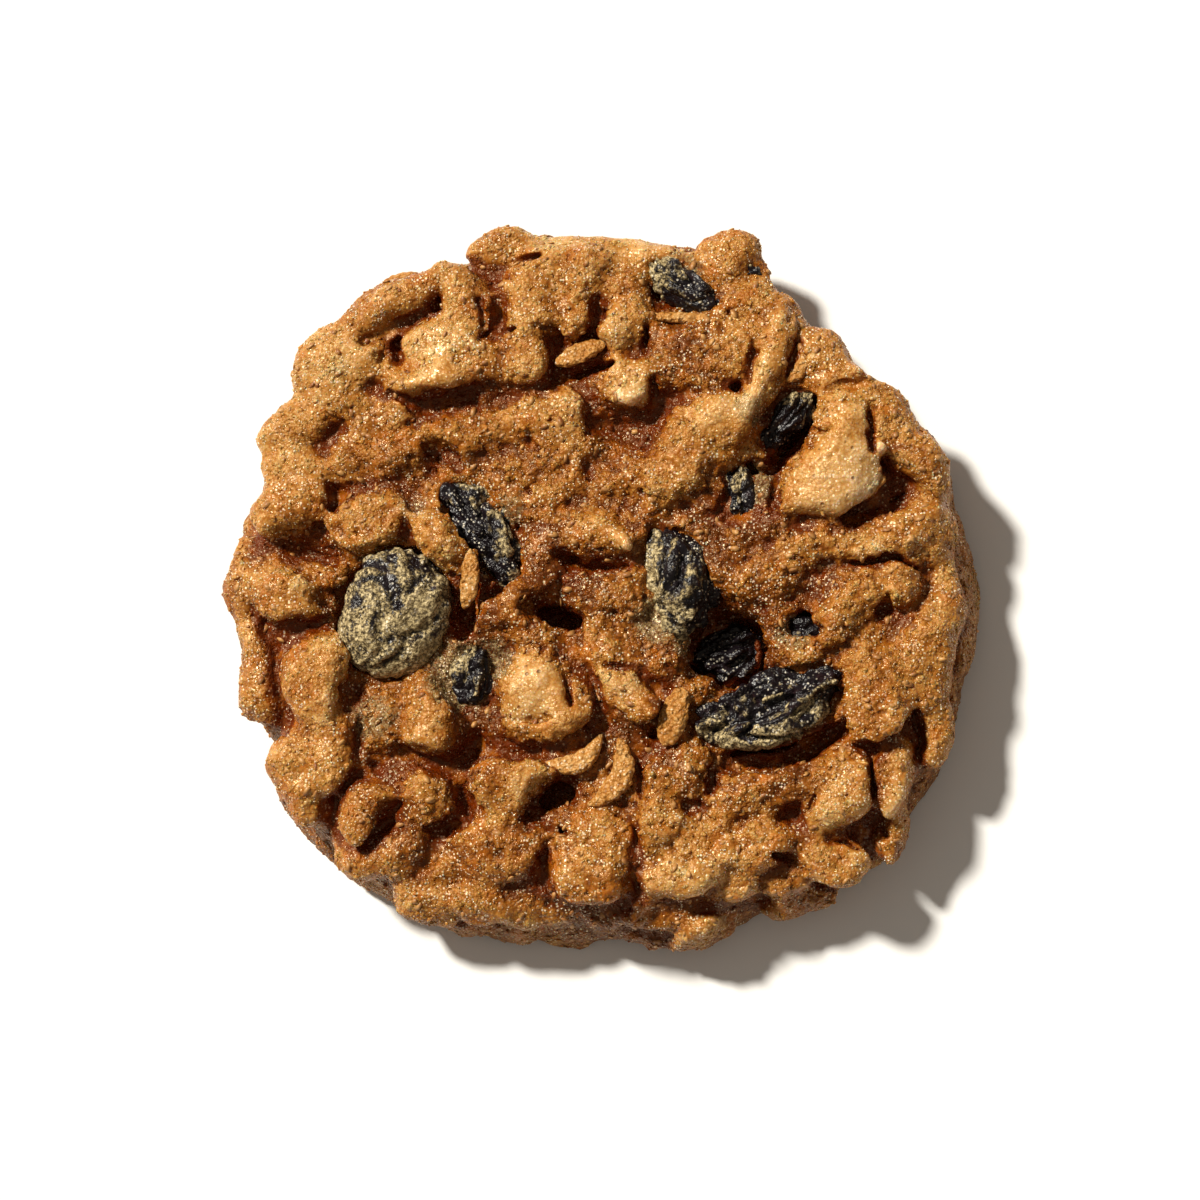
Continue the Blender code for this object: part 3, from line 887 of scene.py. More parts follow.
# The flakes and lumps that show, from the rim inwards. The columns are those of Lump.
FLAKES: tuple[Lump, ...] = (
    # rim, clockwise from the back left
    Lump(-22.4, 29.7, 10.6, 11.6, 4.6, 2.6, 32, 20, 125, 0.6, 0.3, 0.1, 0.5),
    Lump(-28.2, 27.2, 8.6, 4.6, 2.8, 2.0, 25, 15, 130, 0.6, 0, 0, 0.6),
    Lump(-9.8, 35.8, 8.4, 8.0, 4.0, 2.6, -4, 14, 95, 0.6, -0.4, 0, 0.6),
    Lump(-3.0, 35.9, 8.8, 8.5, 3.8, 2.8, 2, 8, 90, 0.78, 0, 0, 0.3),
    Lump(4.8, 35.4, 9.2, 8.5, 4.2, 2.8, -12, 8, 100, 0.85, 0, 0, 0.3),
    Lump(13.9, 35.2, 9.2, 6.2, 5.0, 3.2, 100, 8, 110, 0.6, 0, 0.2, 0.5),
    Lump(19.0, 28.4, 9.8, 7.4, 4.4, 2.6, -35, 14, 60, 0.5, 0, 0, 0.5),
    Lump(24.4, 25.0, 7.4, 3.4, 2.4, 1.8, -40, 20, 45, 0.4, 0, 0, 0.5),
    Lump(27.5, 20.5, 8.0, 6.0, 3.0, 2.4, -45, 24, 45, 0.4, 0, 0, 0.4),
    Lump(31.6, 15.8, 10.7, 10.4, 5.0, 2.6, -58, 14, 40, 0.65, 0.4, 0, 0.6),
    Lump(35.0, 12.2, 7.6, 8.0, 3.4, 2.2, -62, 40, 30, 0.45, 0, 0, 0.5),
    Lump(35.2, 5.8, 9.4, 9.0, 4.2, 2.6, 98, 18, 10, 0.6, 0, 0, 0.6),
    Lump(36.2, -2.4, 9.0, 7.2, 4.6, 2.6, 95, 14, 0, 0.6, 0, 0, 0.5),
    Lump(34.2, -7.2, 10.0, 8.0, 5.4, 2.8, 70, 8, -20, 0.55, 0, 0.2, 0.5),
    Lump(35.4, -16.2, 8.6, 6.8, 3.4, 2.4, 80, 18, 150, 0.6, 0, 0, 0.7),
    Lump(30.8, -26.2, 7.8, 5.4, 3.2, 2.2, 78, 18, 150, 0.6, 0, 0, 0.7),
    Lump(24.4, -28.4, 9.6, 8.6, 4.4, 2.4, -12, 16, 120, 0.6, 0.3, 0, 0.6),
    Lump(19.8, -30.8, 8.4, 6.0, 2.8, 2.0, 22, 20, 120, 0.55, 0, 0, 0.6),
    Lump(21.5, -32.8, 5.8, 6.4, 2.6, 2.0, 16, 30, -70, 0.4, 0, 0, 0.5),
    Lump(10.3, -35.8, 4.8, 5.2, 3.6, 2.4, 30, 20, -80, 0.45, 0, 0, 0.5),
    Lump(7.4, -34.6, 6.2, 5.8, 2.6, 2.0, 18, 30, -80, 0.4, 0, 0, 0.5),
    Lump(-7.4, -33.8, 7.2, 4.6, 3.0, 2.2, 0, 24, -90, 0.45, 0, 0, 0.5),
    Lump(-12.4, -33.4, 8.2, 6.4, 3.8, 2.6, -8, 16, -90, 0.5, 0, 0, 0.5),
    Lump(-18.6, -33.0, 8.2, 6.6, 5.0, 2.8, -20, 8, -110, 0.55, 0, 0, 0.5),
    Lump(-25.6, -29.0, 8.6, 5.4, 3.4, 2.4, -32, 10, 150, 0.6, 0, 0, 0.5),
    Lump(-31.6, -22.6, 8.8, 6.0, 3.2, 2.2, -55, 14, 190, 0.5, 0, 0, 0.6),
    Lump(-31.4, -18.4, 10.0, 8.2, 6.8, 3.0, 60, 8, 150, 0.65, 0, 0, 0.5),
    Lump(-36.6, -9.0, 7.8, 10.2, 3.8, 2.6, 97, 18, 180, 0.55, 0, 0, 0.5),
    Lump(-38.0, 0.2, 7.8, 6.4, 3.8, 2.8, 95, 12, 180, 0.55, 0, 0, 0.5),
    Lump(-33.0, 8.8, 10.3, 8.4, 5.8, 2.6, 35, 12, 140, 0.7, 0, 0, 0.5),
    Lump(-32.2, 17.8, 10.0, 8.0, 5.4, 2.6, 35, 10, 150, 0.75, 0, 0, 0.6),
    # crown, back left
    Lump(-28.4, 23.3, 10.6, 8.4, 6.2, 2.8, 40, 8, 140, 0.85, 0, 0.1, 0.3),
    Lump(-24.0, 24.6, 10.8, 5.0, 3.4, 2.2, -55, 14, 170, 0.75, 0, 0, 0.7),
    Lump(-17.4, 26.2, 11.2, 7.2, 4.6, 1.6, 60, 20, 150, 0.75, 0.3, 0.3, 0.9),
    Lump(-17.6, 22.5, 11.6, 10.6, 3.6, 1.6, 15, 34, 112, 0.78, 0.5, 0, 0.9),
    Lump(-23.4, 18.2, 10.2, 8.2, 3.6, 2.0, 8, 22, 120, 0.55, 0, 0, 0.6),
    Lump(-27.5, 19.8, 10.3, 6.0, 3.0, 1.8, -20, 18, 120, 0.65, 0, 0, 0.6),
    Lump(-32.6, 12.8, 9.9, 6.5, 4.2, 2.2, 10, 12, 150, 0.75, 0, 0, 0.6),
    Lump(-26.3, 13.8, 10.1, 5.6, 4.0, 2.0, 30, 18, 140, 0.55, 0, 0, 0.6),
    Lump(-21.2, 14.6, 10.2, 7.0, 3.6, 1.8, 20, 22, 130, 0.35, 0, 0, 0.5),
    Lump(-14.4, 16.4, 10.6, 8.4, 3.4, 1.8, -5, 24, 110, 0.3, 0.4, 0, 0.5),
    Lump(-20.6, 20.3, 10.4, 4.0, 1.6, 1.0, 10, 20, 110, 0.6, 0, 0, 0.9),
    # crown, back middle
    Lump(-7.2, 32.3, 10.7, 6.8, 5.2, 2.2, 80, 12, 120, 0.65, 0, 0.2, 0.6),
    Lump(-7.2, 28.4, 11.1, 6.4, 4.2, 2.0, 85, 16, 150, 0.6, 0, 0, 0.6),
    Lump(-14.6, 29.8, 10.8, 9.6, 3.4, 2.0, 102, 18, 160, 0.65, 0.3, 0, 0.6),
    Lump(-8.6, 23.8, 11.3, 7.4, 5.0, 1.8, -10, 16, 110, 0.5, 0, 0, 0.7),
    Lump(-1.6, 32.4, 10.1, 6.0, 4.6, 2.2, 20, 12, 100, 0.5, 0, 0, 0.5),
    Lump(3.2, 31.2, 10.1, 5.4, 4.0, 2.0, 70, 14, 140, 0.6, 0, 0, 0.6),
    Lump(-3.0, 28.8, 10.3, 5.0, 4.0, 1.8, 0, 14, 130, 0.4, 0, 0, 0.5),
    Lump(2.8, 27.6, 11.2, 4.6, 4.2, 2.4, 30, 14, 130, 0.75, 0, 0.2, 0.6),
    Lump(3.4, 21.2, 11.8, 7.2, 5.2, 2.0, -15, 18, 120, 0.85, 0, 0.3, 0.7),
    Lump(10.4, 24.2, 11.0, 10.6, 6.4, 2.4, 8, 12, 115, 0.4, 0, 0, 0.5),
    Lump(-4.2, 17.4, 11.2, 6.6, 4.0, 1.8, 82, 16, 150, 0.8, 0, 0.2, 0.6),
    Lump(-7.8, 17.4, 10.9, 4.6, 3.6, 1.8, 40, 16, 140, 0.55, 0, 0, 0.6),
    Lump(-7.0, 12.2, 10.3, 8.0, 4.0, 2.0, 5, 16, 120, 0.35, 0, 0, 0.5),
    Lump(1.8, 11.2, 10.2, 6.5, 4.2, 1.8, 0, 18, 120, 0.3, 0, 0, 0.5),
    # crown, back right
    Lump(15.6, 30.0, 9.7, 4.6, 2.8, 1.8, 10, 14, 110, 0.55, 0, 0, 0.6),
    Lump(15.2, 24.6, 11.2, 5.2, 4.2, 1.8, 80, 14, 150, 0.6, 0, 0, 0.6),
    Lump(18.8, 24.6, 11.3, 6.4, 3.0, 1.6, 74, 26, 170, 0.75, 0.2, 0, 0.8),
    Lump(15.8, 18.9, 12.0, 10.4, 2.8, 1.6, 50, 34, 145, 0.75, 0.3, 0, 0.8),
    Lump(24.0, 23.0, 10.0, 7.4, 5.0, 2.4, -48, 12, 80, 0.6, 0, 0, 0.5),
    Lump(9.0, 13.4, 12.0, 10.2, 6.6, 2.8, 52, 14, 140, 0.62, 0, 0.1, 0.4),
    Lump(12.4, 18.4, 12.1, 4.4, 3.6, 2.0, 45, 16, 140, 0.85, 0, 0, 0.6),
    Lump(26.2, 15.7, 12.6, 6.4, 5.4, 2.8, -72, 12, 150, 0.84, 0, -0.1, 0.3),
    Lump(24.0, 11.0, 12.9, 10.2, 7.4, 3.2, 24, 10, 130, 0.86, 0, -0.1, 0.3),
    Lump(27.6, 9.7, 12.4, 5.0, 1.2, 2.4, 38, 14, 120, 1.0, 0.2, 0, 0.6),
    Lump(28.0, 12.0, 11.8, 6.0, 2.2, 1.6, 50, 20, 150, 0.95, -0.6, 0, 0.9),
    Lump(17.2, 6.2, 10.5, 7.0, 3.6, 1.8, 20, 24, 120, 0.45, 0, 0, 0.6),
    # middle left
    Lump(-24.2, 6.9, 11.1, 8.0, 5.2, 1.6, 12, 12, 130, 0.6, 0, 0.3, 0.8),
    Lump(-33.6, -0.9, 10.4, 7.0, 5.0, 2.4, -20, 16, 140, 0.85, 0.5, 0.2, 0.7),
    Lump(-29.8, -10.0, 11.1, 10.2, 6.0, 2.6, 78, 14, 150, 0.65, 0, 0, 0.5),
    Lump(-28.2, -16.6, 11.0, 9.0, 4.0, 2.4, 82, 16, 160, 0.6, 0, 0, 0.6),
    # middle
    Lump(-16.7, 4.8, 12.5, 6.8, 3.6, 3.0, -50, 12, 40, 0.5, 0.4, 0, 0.6),
    Lump(-0.8, 5.2, 11.2, 8.8, 4.0, 1.6, -12, 26, 105, 0.7, -0.7, 0, 0.9),
    Lump(-5.8, 2.9, 10.7, 4.4, 2.6, 1.6, 75, 18, 150, 0.55, 0, 0, 0.6),
    Lump(-6.0, 8.6, 10.4, 5.6, 3.2, 1.6, 10, 20, 120, 0.45, 0, 0, 0.6),
    Lump(1.0, -0.8, 11.0, 8.4, 5.4, 2.6, 15, 12, 130, 0.3, 0, 0, 0.4),
    Lump(-8.4, -2.4, 10.8, 8.4, 2.8, 1.8, 36, 26, 130, 0.4, 0.3, 0, 0.6),
    Lump(-7.2, -6.2, 10.7, 6.4, 3.0, 2.0, -10, 22, 110, 0.45, 0, 0, 0.6),
    Lump(0.8, -7.0, 11.4, 5.0, 3.6, 2.2, 95, 14, 140, 0.65, 0, 0, 0.6),
    Lump(-4.9, -14.0, 12.0, 8.8, 5.0, 2.2, 24, 18, 135, 0.6, 0.4, 0, 0.6),
    Lump(-6.8, -11.3, 12.9, 7.2, 5.4, 2.6, 10, 10, 130, 0.85, 0, 0, 0.4),
    Lump(2.2, -11.2, 12.0, 4.6, 3.9, 2.2, -20, 14, 130, 0.85, 0, 0.2, 0.6),
    Lump(6.8, -8.0, 10.4, 5.2, 4.0, 2.0, 0, 14, 140, 0.4, 0, 0, 0.5),
    # middle right
    Lump(21.9, 4.2, 11.0, 5.2, 2.8, 1.6, -14, 22, 105, 0.6, 0, 0, 0.7),
    Lump(29.8, 4.6, 10.9, 11.2, 4.2, 2.2, 12, 26, 105, 0.6, 0.5, 0, 0.7),
    Lump(27.4, -1.2, 11.0, 6.8, 4.2, 2.4, 40, 16, 130, 0.7, 0, 0, 0.6),
    Lump(31.9, 0.3, 10.7, 4.4, 3.8, 2.2, 80, 12, 120, 0.5, 0, 0, 0.6),
    Lump(28.0, -8.2, 10.5, 5.0, 4.2, 2.2, 0, 10, 120, 0.55, 0, 0, 0.5),
    Lump(17.4, 0.9, 11.0, 7.6, 3.4, 2.0, 5, 18, 110, 0.45, 0, 0, 0.5),
    Lump(24.6, -4.3, 11.4, 5.2, 4.0, 2.4, 60, 12, 140, 0.7, 0, 0, 0.6),
    # front left
    Lump(-25.2, -23.4, 10.3, 5.4, 4.4, 2.4, 60, 12, 140, 0.6, 0, 0, 0.6),
    Lump(-21.4, -28.2, 9.9, 6.4, 4.4, 2.6, 20, 12, 130, 0.55, 0, 0, 0.5),
    Lump(-18.4, -22.8, 10.6, 5.8, 4.8, 2.4, 0, 12, 130, 0.6, 0, 0, 0.5),
    Lump(-17.7, -15.2, 12.3, 6.8, 4.8, 3.0, 108, 12, 150, 0.7, 0, 0.1, 0.6),
    Lump(-22.8, -14.8, 10.8, 5.6, 4.4, 2.2, 100, 10, 150, 0.45, 0, 0, 0.5),
    Lump(-8.6, -20.9, 12.1, 7.8, 4.8, 2.6, 0, 16, 120, 0.7, 0, 0.2, 0.6),
    Lump(-10.6, -27.8, 10.7, 9.0, 5.6, 2.8, -5, 12, 120, 0.35, 0, 0, 0.5),
    # front middle
    Lump(9.2, -20.0, 10.8, 5.4, 4.6, 2.4, 40, 12, 130, 0.4, 0, 0, 0.5),
    Lump(5.8, -21.2, 10.7, 4.8, 3.8, 2.2, 80, 12, 150, 0.5, 0, 0, 0.6),
    Lump(-0.6, -28.4, 11.0, 9.6, 8.2, 3.2, 85, 14, 120, 0.6, 0, 0.2, 0.5),
    Lump(9.4, -29.0, 10.7, 10.4, 7.2, 2.8, 20, 14, 120, 0.8, 0, 0.3, 0.6),
    Lump(14.4, -31.0, 9.2, 5.4, 4.2, 2.4, 30, 10, 130, 0.6, 0, 0, 0.6),
    Lump(6.2, -26.0, 10.9, 4.6, 3.2, 2.0, 30, 18, 130, 0.6, 0, 0, 0.7),
    # front right
    Lump(28.6, -12.8, 11.0, 8.4, 6.6, 2.8, -10, 10, 130, 0.45, 0, 0, 0.4),
    Lump(34.0, -12.0, 9.6, 4.8, 4.0, 2.4, 60, 12, 20, 0.5, 0, 0, 0.5),
    Lump(31.2, -20.5, 10.2, 8.4, 4.0, 2.0, 78, 18, 155, 0.75, 0, 0, 0.8),
    Lump(25.6, -21.6, 11.3, 8.4, 6.8, 3.0, 60, 12, 140, 0.75, 0, 0.2, 0.5),
    Lump(19.6, -20.8, 10.9, 5.4, 4.0, 2.2, 30, 12, 130, 0.45, 0, 0, 0.5),
    Lump(14.6, -22.6, 10.8, 6.0, 3.8, 2.2, 40, 12, 130, 0.45, 0, 0, 0.5),
    Lump(17.2, -27.4, 10.7, 6.2, 5.0, 2.4, 20, 14, 130, 0.6, 0, 0, 0.6),
)

# The gaps and creases that show dark. The columns are those of Crack.
CRACKS: tuple[Crack, ...] = (
    # back left
    Crack(-24.6, 26.4, -17.2, 29.6, 2.4, 1.3),
    Crack(-21.6, 20.3, -14.2, 19.9, 1.1, 1.4),
    Crack(-18.0, 15.0, -14.4, 12.6, 2.4, 1.8),
    Crack(-28.4, 16.0, -26.6, 17.2, 0.9, 1.0),
    Crack(-22.0, 25.8, -23.0, 23.8, 1.4, 0.7),
    # back middle
    Crack(-12.7, 31.4, -12.2, 27.2, 0.9, 1.3),
    Crack(-10.4, 34.6, -6.0, 35.3, 0.8, 1.0),
    Crack(-9.9, 34.2, -9.3, 32.4, 0.7, 1.0),
    Crack(-13.2, 26.6, -8.0, 27.1, 0.6, 0.8),
    Crack(-4.3, 26.4, -4.3, 21.4, 0.9, 1.0),
    Crack(-3.6, 22.5, 1.8, 23.6, 1.2, 1.6),
    Crack(0.7, 29.2, 1.4, 28.8, 1.1, 1.6),
    Crack(5.2, 27.2, 5.6, 24.4, 0.9, 1.3),
    Crack(6.6, 21.6, 5.9, 18.2, 0.8, 1.2),
    Crack(-0.8, 16.8, 4.6, 15.2, 3.4, 1.5),
    # back right
    Crack(16.9, 26.0, 16.6, 21.6, 0.8, 1.0),
    Crack(21.6, 26.6, 20.8, 22.6, 0.7, 1.0),
    Crack(22.3, 19.0, 17.6, 12.4, 2.4, 4.6),
    Crack(28.8, 18.4, 29.2, 12.8, 0.8, 1.2),
    Crack(18.2, 12.4, 18.9, 7.6, 1.8, 1.6),
    Crack(23.0, 19.6, 27.8, 20.6, 1.2, 1.1),
    Crack(21.8, 16.4, 24.2, 15.6, 0.9, 0.9),
    Crack(20.6, 6.6, 25.6, 6.3, 1.6, 0.9),
    Crack(25.6, 6.4, 30.4, 8.8, 2.0, 1.2),
    Crack(25.6, 1.9, 31.6, 2.2, 0.6, 1.4),
    Crack(31.6, 2.2, 35.4, 0.7, 0.6, 1.4),
    Crack(31.0, 7.8, 32.8, 9.2, 0.5, 1.2),
    Crack(30.2, -1.2, 29.4, -4.6, 1.3, 1.4),
    # middle
    Crack(-6.2, -3.1, -2.0, -4.2, 3.0, 4.4),
    Crack(-9.6, -14.6, -4.6, -14.4, 0.6, 0.7),
    Crack(-3.0, -13.2, -2.4, -9.6, 0.7, 0.8),
    Crack(-0.2, -9.0, -0.2, -13.4, 1.0, 1.3),
    Crack(0.8, -9.2, 4.2, -9.0, 0.7, 0.9),
    Crack(-3.6, 2.4, 3.0, 2.0, 1.4, 2.6),
    Crack(-14.9, -5.2, -13.0, -0.6, 2.6, 3.4),
    Crack(-11.8, -1.8, -8.0, 0.0, 1.8, 2.8),
    Crack(12.2, -4.8, 14.8, -8.4, 8.6, 5.4),
    Crack(16.8, -6.2, 17.6, -7.4, 2.0, 3.0),
    Crack(20.6, -3.9, 23.0, -5.4, 1.7, 2.4),
    Crack(13.8, -18.6, 19.4, -19.2, 2.4, 2.6),
    Crack(19.0, -19.0, 25.4, -15.6, 2.4, 2.8),
    # left
    Crack(-33.6, 5.0, -28.4, 3.2, 3.0, 2.2),
    Crack(-34.0, -4.8, -29.2, -4.2, 1.6, 1.5),
    Crack(-36.2, -3.6, -34.8, -8.4, 1.0, 1.0),
    Crack(-34.8, -8.4, -33.4, -15.6, 1.1, 1.2),
    # front left
    Crack(-24.9, -13.8, -25.6, -18.8, 1.1, 1.4),
    Crack(-25.6, -18.8, -28.0, -22.4, 1.0, 1.2),
    Crack(-28.0, -22.4, -27.8, -28.4, 1.2, 1.7),
    Crack(-21.0, -18.0, -14.0, -19.4, 1.5, 1.9),
    Crack(-23.2, -24.8, -20.8, -23.4, 1.2, 1.5),
    Crack(-18.2, -26.2, -14.0, -25.6, 1.4, 1.2),
    Crack(-14.2, -20.5, -13.4, -24.8, 1.2, 1.2),
    # front middle
    Crack(-12.6, -17.9, -7.0, -17.5, 1.1, 1.0),
    Crack(-6.9, -24.2, -3.4, -21.8, 3.4, 2.6),
    Crack(-4.0, -26.2, -3.6, -26.6, 0.8, 1.8),
    Crack(3.8, -23.8, 4.4, -29.4, 0.7, 0.9),
    Crack(5.2, -15.2, 5.6, -15.6, 1.0, 2.2),
    Crack(4.3, -18.0, 4.6, -22.4, 0.9, 0.9),
    Crack(-5.4, -30.2, -4.4, -33.2, 0.8, 0.9),
    Crack(3.2, -31.0, 5.0, -33.4, 1.6, 1.6),
    Crack(12.6, -18.6, 11.6, -22.0, 1.2, 1.2),
    # front right
    Crack(28.8, -17.8, 28.9, -22.4, 0.7, 1.8),
    Crack(24.4, -27.1, 27.2, -27.7, 0.6, 1.3),
    Crack(22.2, -29.9, 18.4, -28.4, 0.9, 1.3),
    Crack(29.6, -24.4, 30.6, -27.0, 0.7, 1.2),
    Crack(33.6, -13.4, 34.0, -19.4, 0.9, 1.4),
    Crack(22.3, -25.2, 22.9, -22.8, 0.6, 0.9),
)


class Patch(NamedTuple):
    """A round patch on the dough: its place, its radius and how strong it is."""

    x: float
    y: float
    radius: float
    strength: float


def strongest(patches: Sequence[Patch], points: np.ndarray, core: float) -> np.ndarray:
    """How strong the strongest of some patches is at each point.

    Args:
        patches: The patches.
        points: One place a row.
        core: The share of its radius over which a patch is at its full strength.

    Returns:
        One value for each point.
    """
    result = np.zeros(len(points), np.float32)
    for patch in patches:
        near = np.hypot(points[:, 0] - patch.x, points[:, 1] - patch.y)
        result = np.maximum(result, patch.strength * (1 - smooth_step(core, 1.1, near / patch.radius)))
    return result


# Where floury film from the raisins lies on the dough.
STAINS: tuple[Patch, ...] = (
    Patch(-14.6, -9.6, 5.2, 1.0),
    Patch(-23.5, -14.0, 4.0, 0.7),
    Patch(-19.5, 8.5, 3.0, 0.5),
    Patch(16.0, 18.0, 2.6, 0.7),
    Patch(16.5, 10.5, 3.4, 0.8),
    Patch(32.0, 0.5, 2.2, 0.4),
    Patch(9.0, 33.0, 4.0, 0.6),
    Patch(20.5, -5.5, 3.0, 0.7),
    Patch(6.4, -3.8, 3.8, 0.9),
    Patch(9.6, -6.2, 2.6, 0.8),
    Patch(-9.4, 8.0, 3.0, 0.6),
    Patch(-11.0, -8.0, 3.4, 0.8),
)

# Where the dough is painted browner: partly real browning, partly painted shade in shadowed hollows.
BROWNING_AND_SHADE_PATCHES: tuple[Patch, ...] = (
    Patch(-4.5, 3.0, 8.0, 1.0),
    Patch(14.6, 6.4, 7.0, 1.0),
    Patch(14.5, -4.5, 8.0, 0.8),
    Patch(-14.5, -5.0, 8.0, 0.8),
    Patch(-5.0, -5.0, 5.0, 0.5),
    Patch(4.5, -15.5, 6.0, 0.9),
    Patch(6.0, -6.0, 6.0, 0.7),
    Patch(-12.5, -18.0, 6.0, 0.9),
    Patch(-13.0, -13.0, 5.0, 0.8),
    Patch(-22.0, -24.0, 8.0, 0.5),
    Patch(-34.0, 0.0, 9.0, 0.4),
    Patch(-6.0, 14.0, 6.0, 0.4),
    Patch(20.0, -18.5, 6.0, 0.8),
    Patch(12.0, 21.0, 5.0, 0.4),
    Patch(2.0, -36.0, 9.0, 0.6),
    Patch(24.0, -2.0, 6.0, 0.4),
    Patch(7.0, 24.5, 5.0, 0.7),
    Patch(-15.5, 21.5, 4.0, 0.8),
    Patch(3.0, 16.5, 6.0, 0.6),
)


# ---------------------------------------------------------------- shared effects


def toast_and_shade_effect() -> Group:
    """Baked colour with painted light and shade: pale where oat shows, caramel in valleys. Open crests are
    painted paler and hollows darker, to nearly black in cracks: partly caramel, partly painted shade.

    Returns:
        A group that takes Tone, Hollow, Rise and Mottle and gives Color.
    """
    takes = {"Tone": (FLOAT, 0.5), "Hollow": (FLOAT, 0.0), "Rise": (FLOAT, 0.5), "Mottle": (FLOAT, 0.5)}
    tree = Group("toast_and_shade", "ShaderNodeTree", takes, {"Color": COLOUR})
    mottle, rise = tree.take("Mottle") - 0.5, tree.take("Rise") - 0.5
    # painted light: open points, with little Hollow, are made paler
    crest = tree.remap(tree.take("Hollow"), 0.12, 0.55, 1.0, 0.0)
    place = tree.take("Tone") * 0.85 - 0.17 + crest * 0.2 + rise * 0.45
    baked_colour_with_crest_light = tree.ramp(
        tree.math("ADD", place, mottle * 1.1, clamp=True),
        (0.0, linear(98, 44, 4)),
        (0.2, linear(142, 80, 16)),
        (0.42, linear(174, 117, 50)),
        (0.64, linear(199, 155, 96)),
        (0.84, linear(221, 190, 148)),
        (1.0, linear(240, 222, 194)),
    )
    # painted shade: the hollower a point, the nearer its colour is to near-black brown; partly caramel,
    # partly the shade that falls in valleys and cracks
    deep = tree.remap(tree.take("Hollow"), 0.27, 0.7, 0.0, 0.9)
    tree.give("Color", tree.mix(deep, baked_colour_with_crest_light, linear(96, 32, 0)))
    return tree


def grain_effect() -> Group:
    """The sugary grain of a crust: packed granules with rounded tops, over soft blisters, and a mask of
    glint spots that the finishes paint in as highlights.

    Returns:
        A group that takes Where, Size, Pores and Soft, and gives Height, Grit, Pit and Glint.
    """
    takes = {"Where": (VECTOR, None), "Size": (FLOAT, 0.4), "Pores": (FLOAT, 1.0), "Soft": (FLOAT, 0.0)}
    gives = {"Height": FLOAT, "Grit": FLOAT, "Pit": FLOAT, "Glint": FLOAT}
    tree = Group("grain", "ShaderNodeTree", takes, gives)
    fine = (1 / MM) / tree.take("Size")
    where = tree.take("Where")

    def cells(share: float) -> Value:
        """How far each point is from the middle of its cell. A cell is Size divided by share."""
        return tree.value("ShaderNodeTexVoronoi", {"Vector": where, "Scale": fine * share}, "Distance")

    def cloud(share: float, detail: float = 1.0, swirl: float = 0.0) -> Value:
        """Soft random values, whose blobs are Size divided by share."""
        inputs = {"Vector": where, "Scale": fine * share, "Detail": detail, "Distortion": swirl}
        return tree.value("ShaderNodeTexNoise", inputs)

    def granules(share: float) -> Value:
        """Packed granules, 1 at each one's top."""
        away = cells(share)
        return 1.0 - away * away

    grit = granules(1.0) * 0.7 + granules(1.9) * 0.3
    blister = cloud(0.4, swirl=0.4)
    patch = tree.remap(cloud(0.16), 0.36, 0.6, 0.35, 1.0)
    pit = tree.remap(cells(0.45), 0.12, 0.34, 1.0, 0.0) * tree.remap(cloud(0.2), 0.55, 0.68, 0.0, 1.0)
    pit = pit * tree.take("Pores")
    sharp = 1.0 - tree.take("Soft") * 0.6
    tree.give("Height", grit * (patch * sharp) + blister * 0.9 - pit * 0.8)
    # painted highlight mask: sparse glint spots, which the finishes mix towards near-white in their colour
    glint_cells = tree.node("ShaderNodeTexVoronoi", {"Vector": where, "Scale": fine * 1.15})
    odds = tree.value("ShaderNodeSeparateXYZ", {0: Value(tree, glint_cells.outputs["Color"])})
    away = Value(tree, glint_cells.outputs["Distance"])
    glint = tree.remap(odds, 0.74, 0.78, 0.0, 1.0) * tree.remap(away, 0.28, 0.5, 1.0, 0.0)
    tree.give("Glint", glint * tree.remap(cloud(0.12, 2.0), 0.42, 0.6, 0.1, 1.0))
    tree.give("Grit", tree.remap(grit, 0.6, 1.0, 0.28, 0.66) + (blister - 0.5) * 0.6)
    tree.give("Pit", pit)
    return tree


def film_effect() -> Group:
    """A floury film, broken by pores and rubbed through in patches.

    Returns:
        A group that takes Where and Cover and gives Mask and Shade.
    """
    takes = {"Where": (VECTOR, None), "Cover": (FLOAT, 0.5)}
    tree = Group("film", "ShaderNodeTree", takes, {"Mask": FLOAT, "Shade": FLOAT})
    where = tree.take("Where")
    cover = tree.take("Cover") + (tree.noise(where, 1.7, 3.0, 0.6) - 0.5) * 1.4
    dust = tree.noise(where, 0.34, 3.0, 0.65)
    grains = tree.remap(dust, 0.36, 0.52, 0.0, 1.0)
    thick = tree.remap(cover, 0.45, 1.0, 0.0, 0.9)
    whole = tree.remap(cover, 0.36, 0.6, 0.0, 1.0)
    tree.give("Mask", tree.math("MULTIPLY", whole, tree.math("MAXIMUM", grains, thick), clamp=True))
    tree.give("Shade", dust)
    return tree


class Effects:
    """The shared effects, each built once."""

    def __init__(self) -> None:
        """Builds them."""
        self.toast_and_shade = toast_and_shade_effect()
        self.grain = grain_effect()
        self.film = film_effect()


class Coat(Tree):
    """A material with a Principled shader."""

    def __init__(self, name: str) -> None:
        """Makes the material."""
        self.material = bpy.data.materials.new(name)
        self.material.use_nodes = True
        super().__init__(self.material.node_tree)
        self.sockets = self.tree.nodes["Principled BSDF"].inputs

    def set(self, values: dict[str, Link]) -> None:
        """Sets the shader's sockets, each to a node's value or to a plain one."""
        for name, value in values.items():
            self.feed(self.sockets[name], value)

    def bump(self, height: Value, depth: float) -> Value:
        """A bumpy surface, from a height of about 0 to 1. depth is in millimetres."""
        return self.value("ShaderNodeBump", {"Strength": 1.0, "Distance": depth * MM, "Height": height})


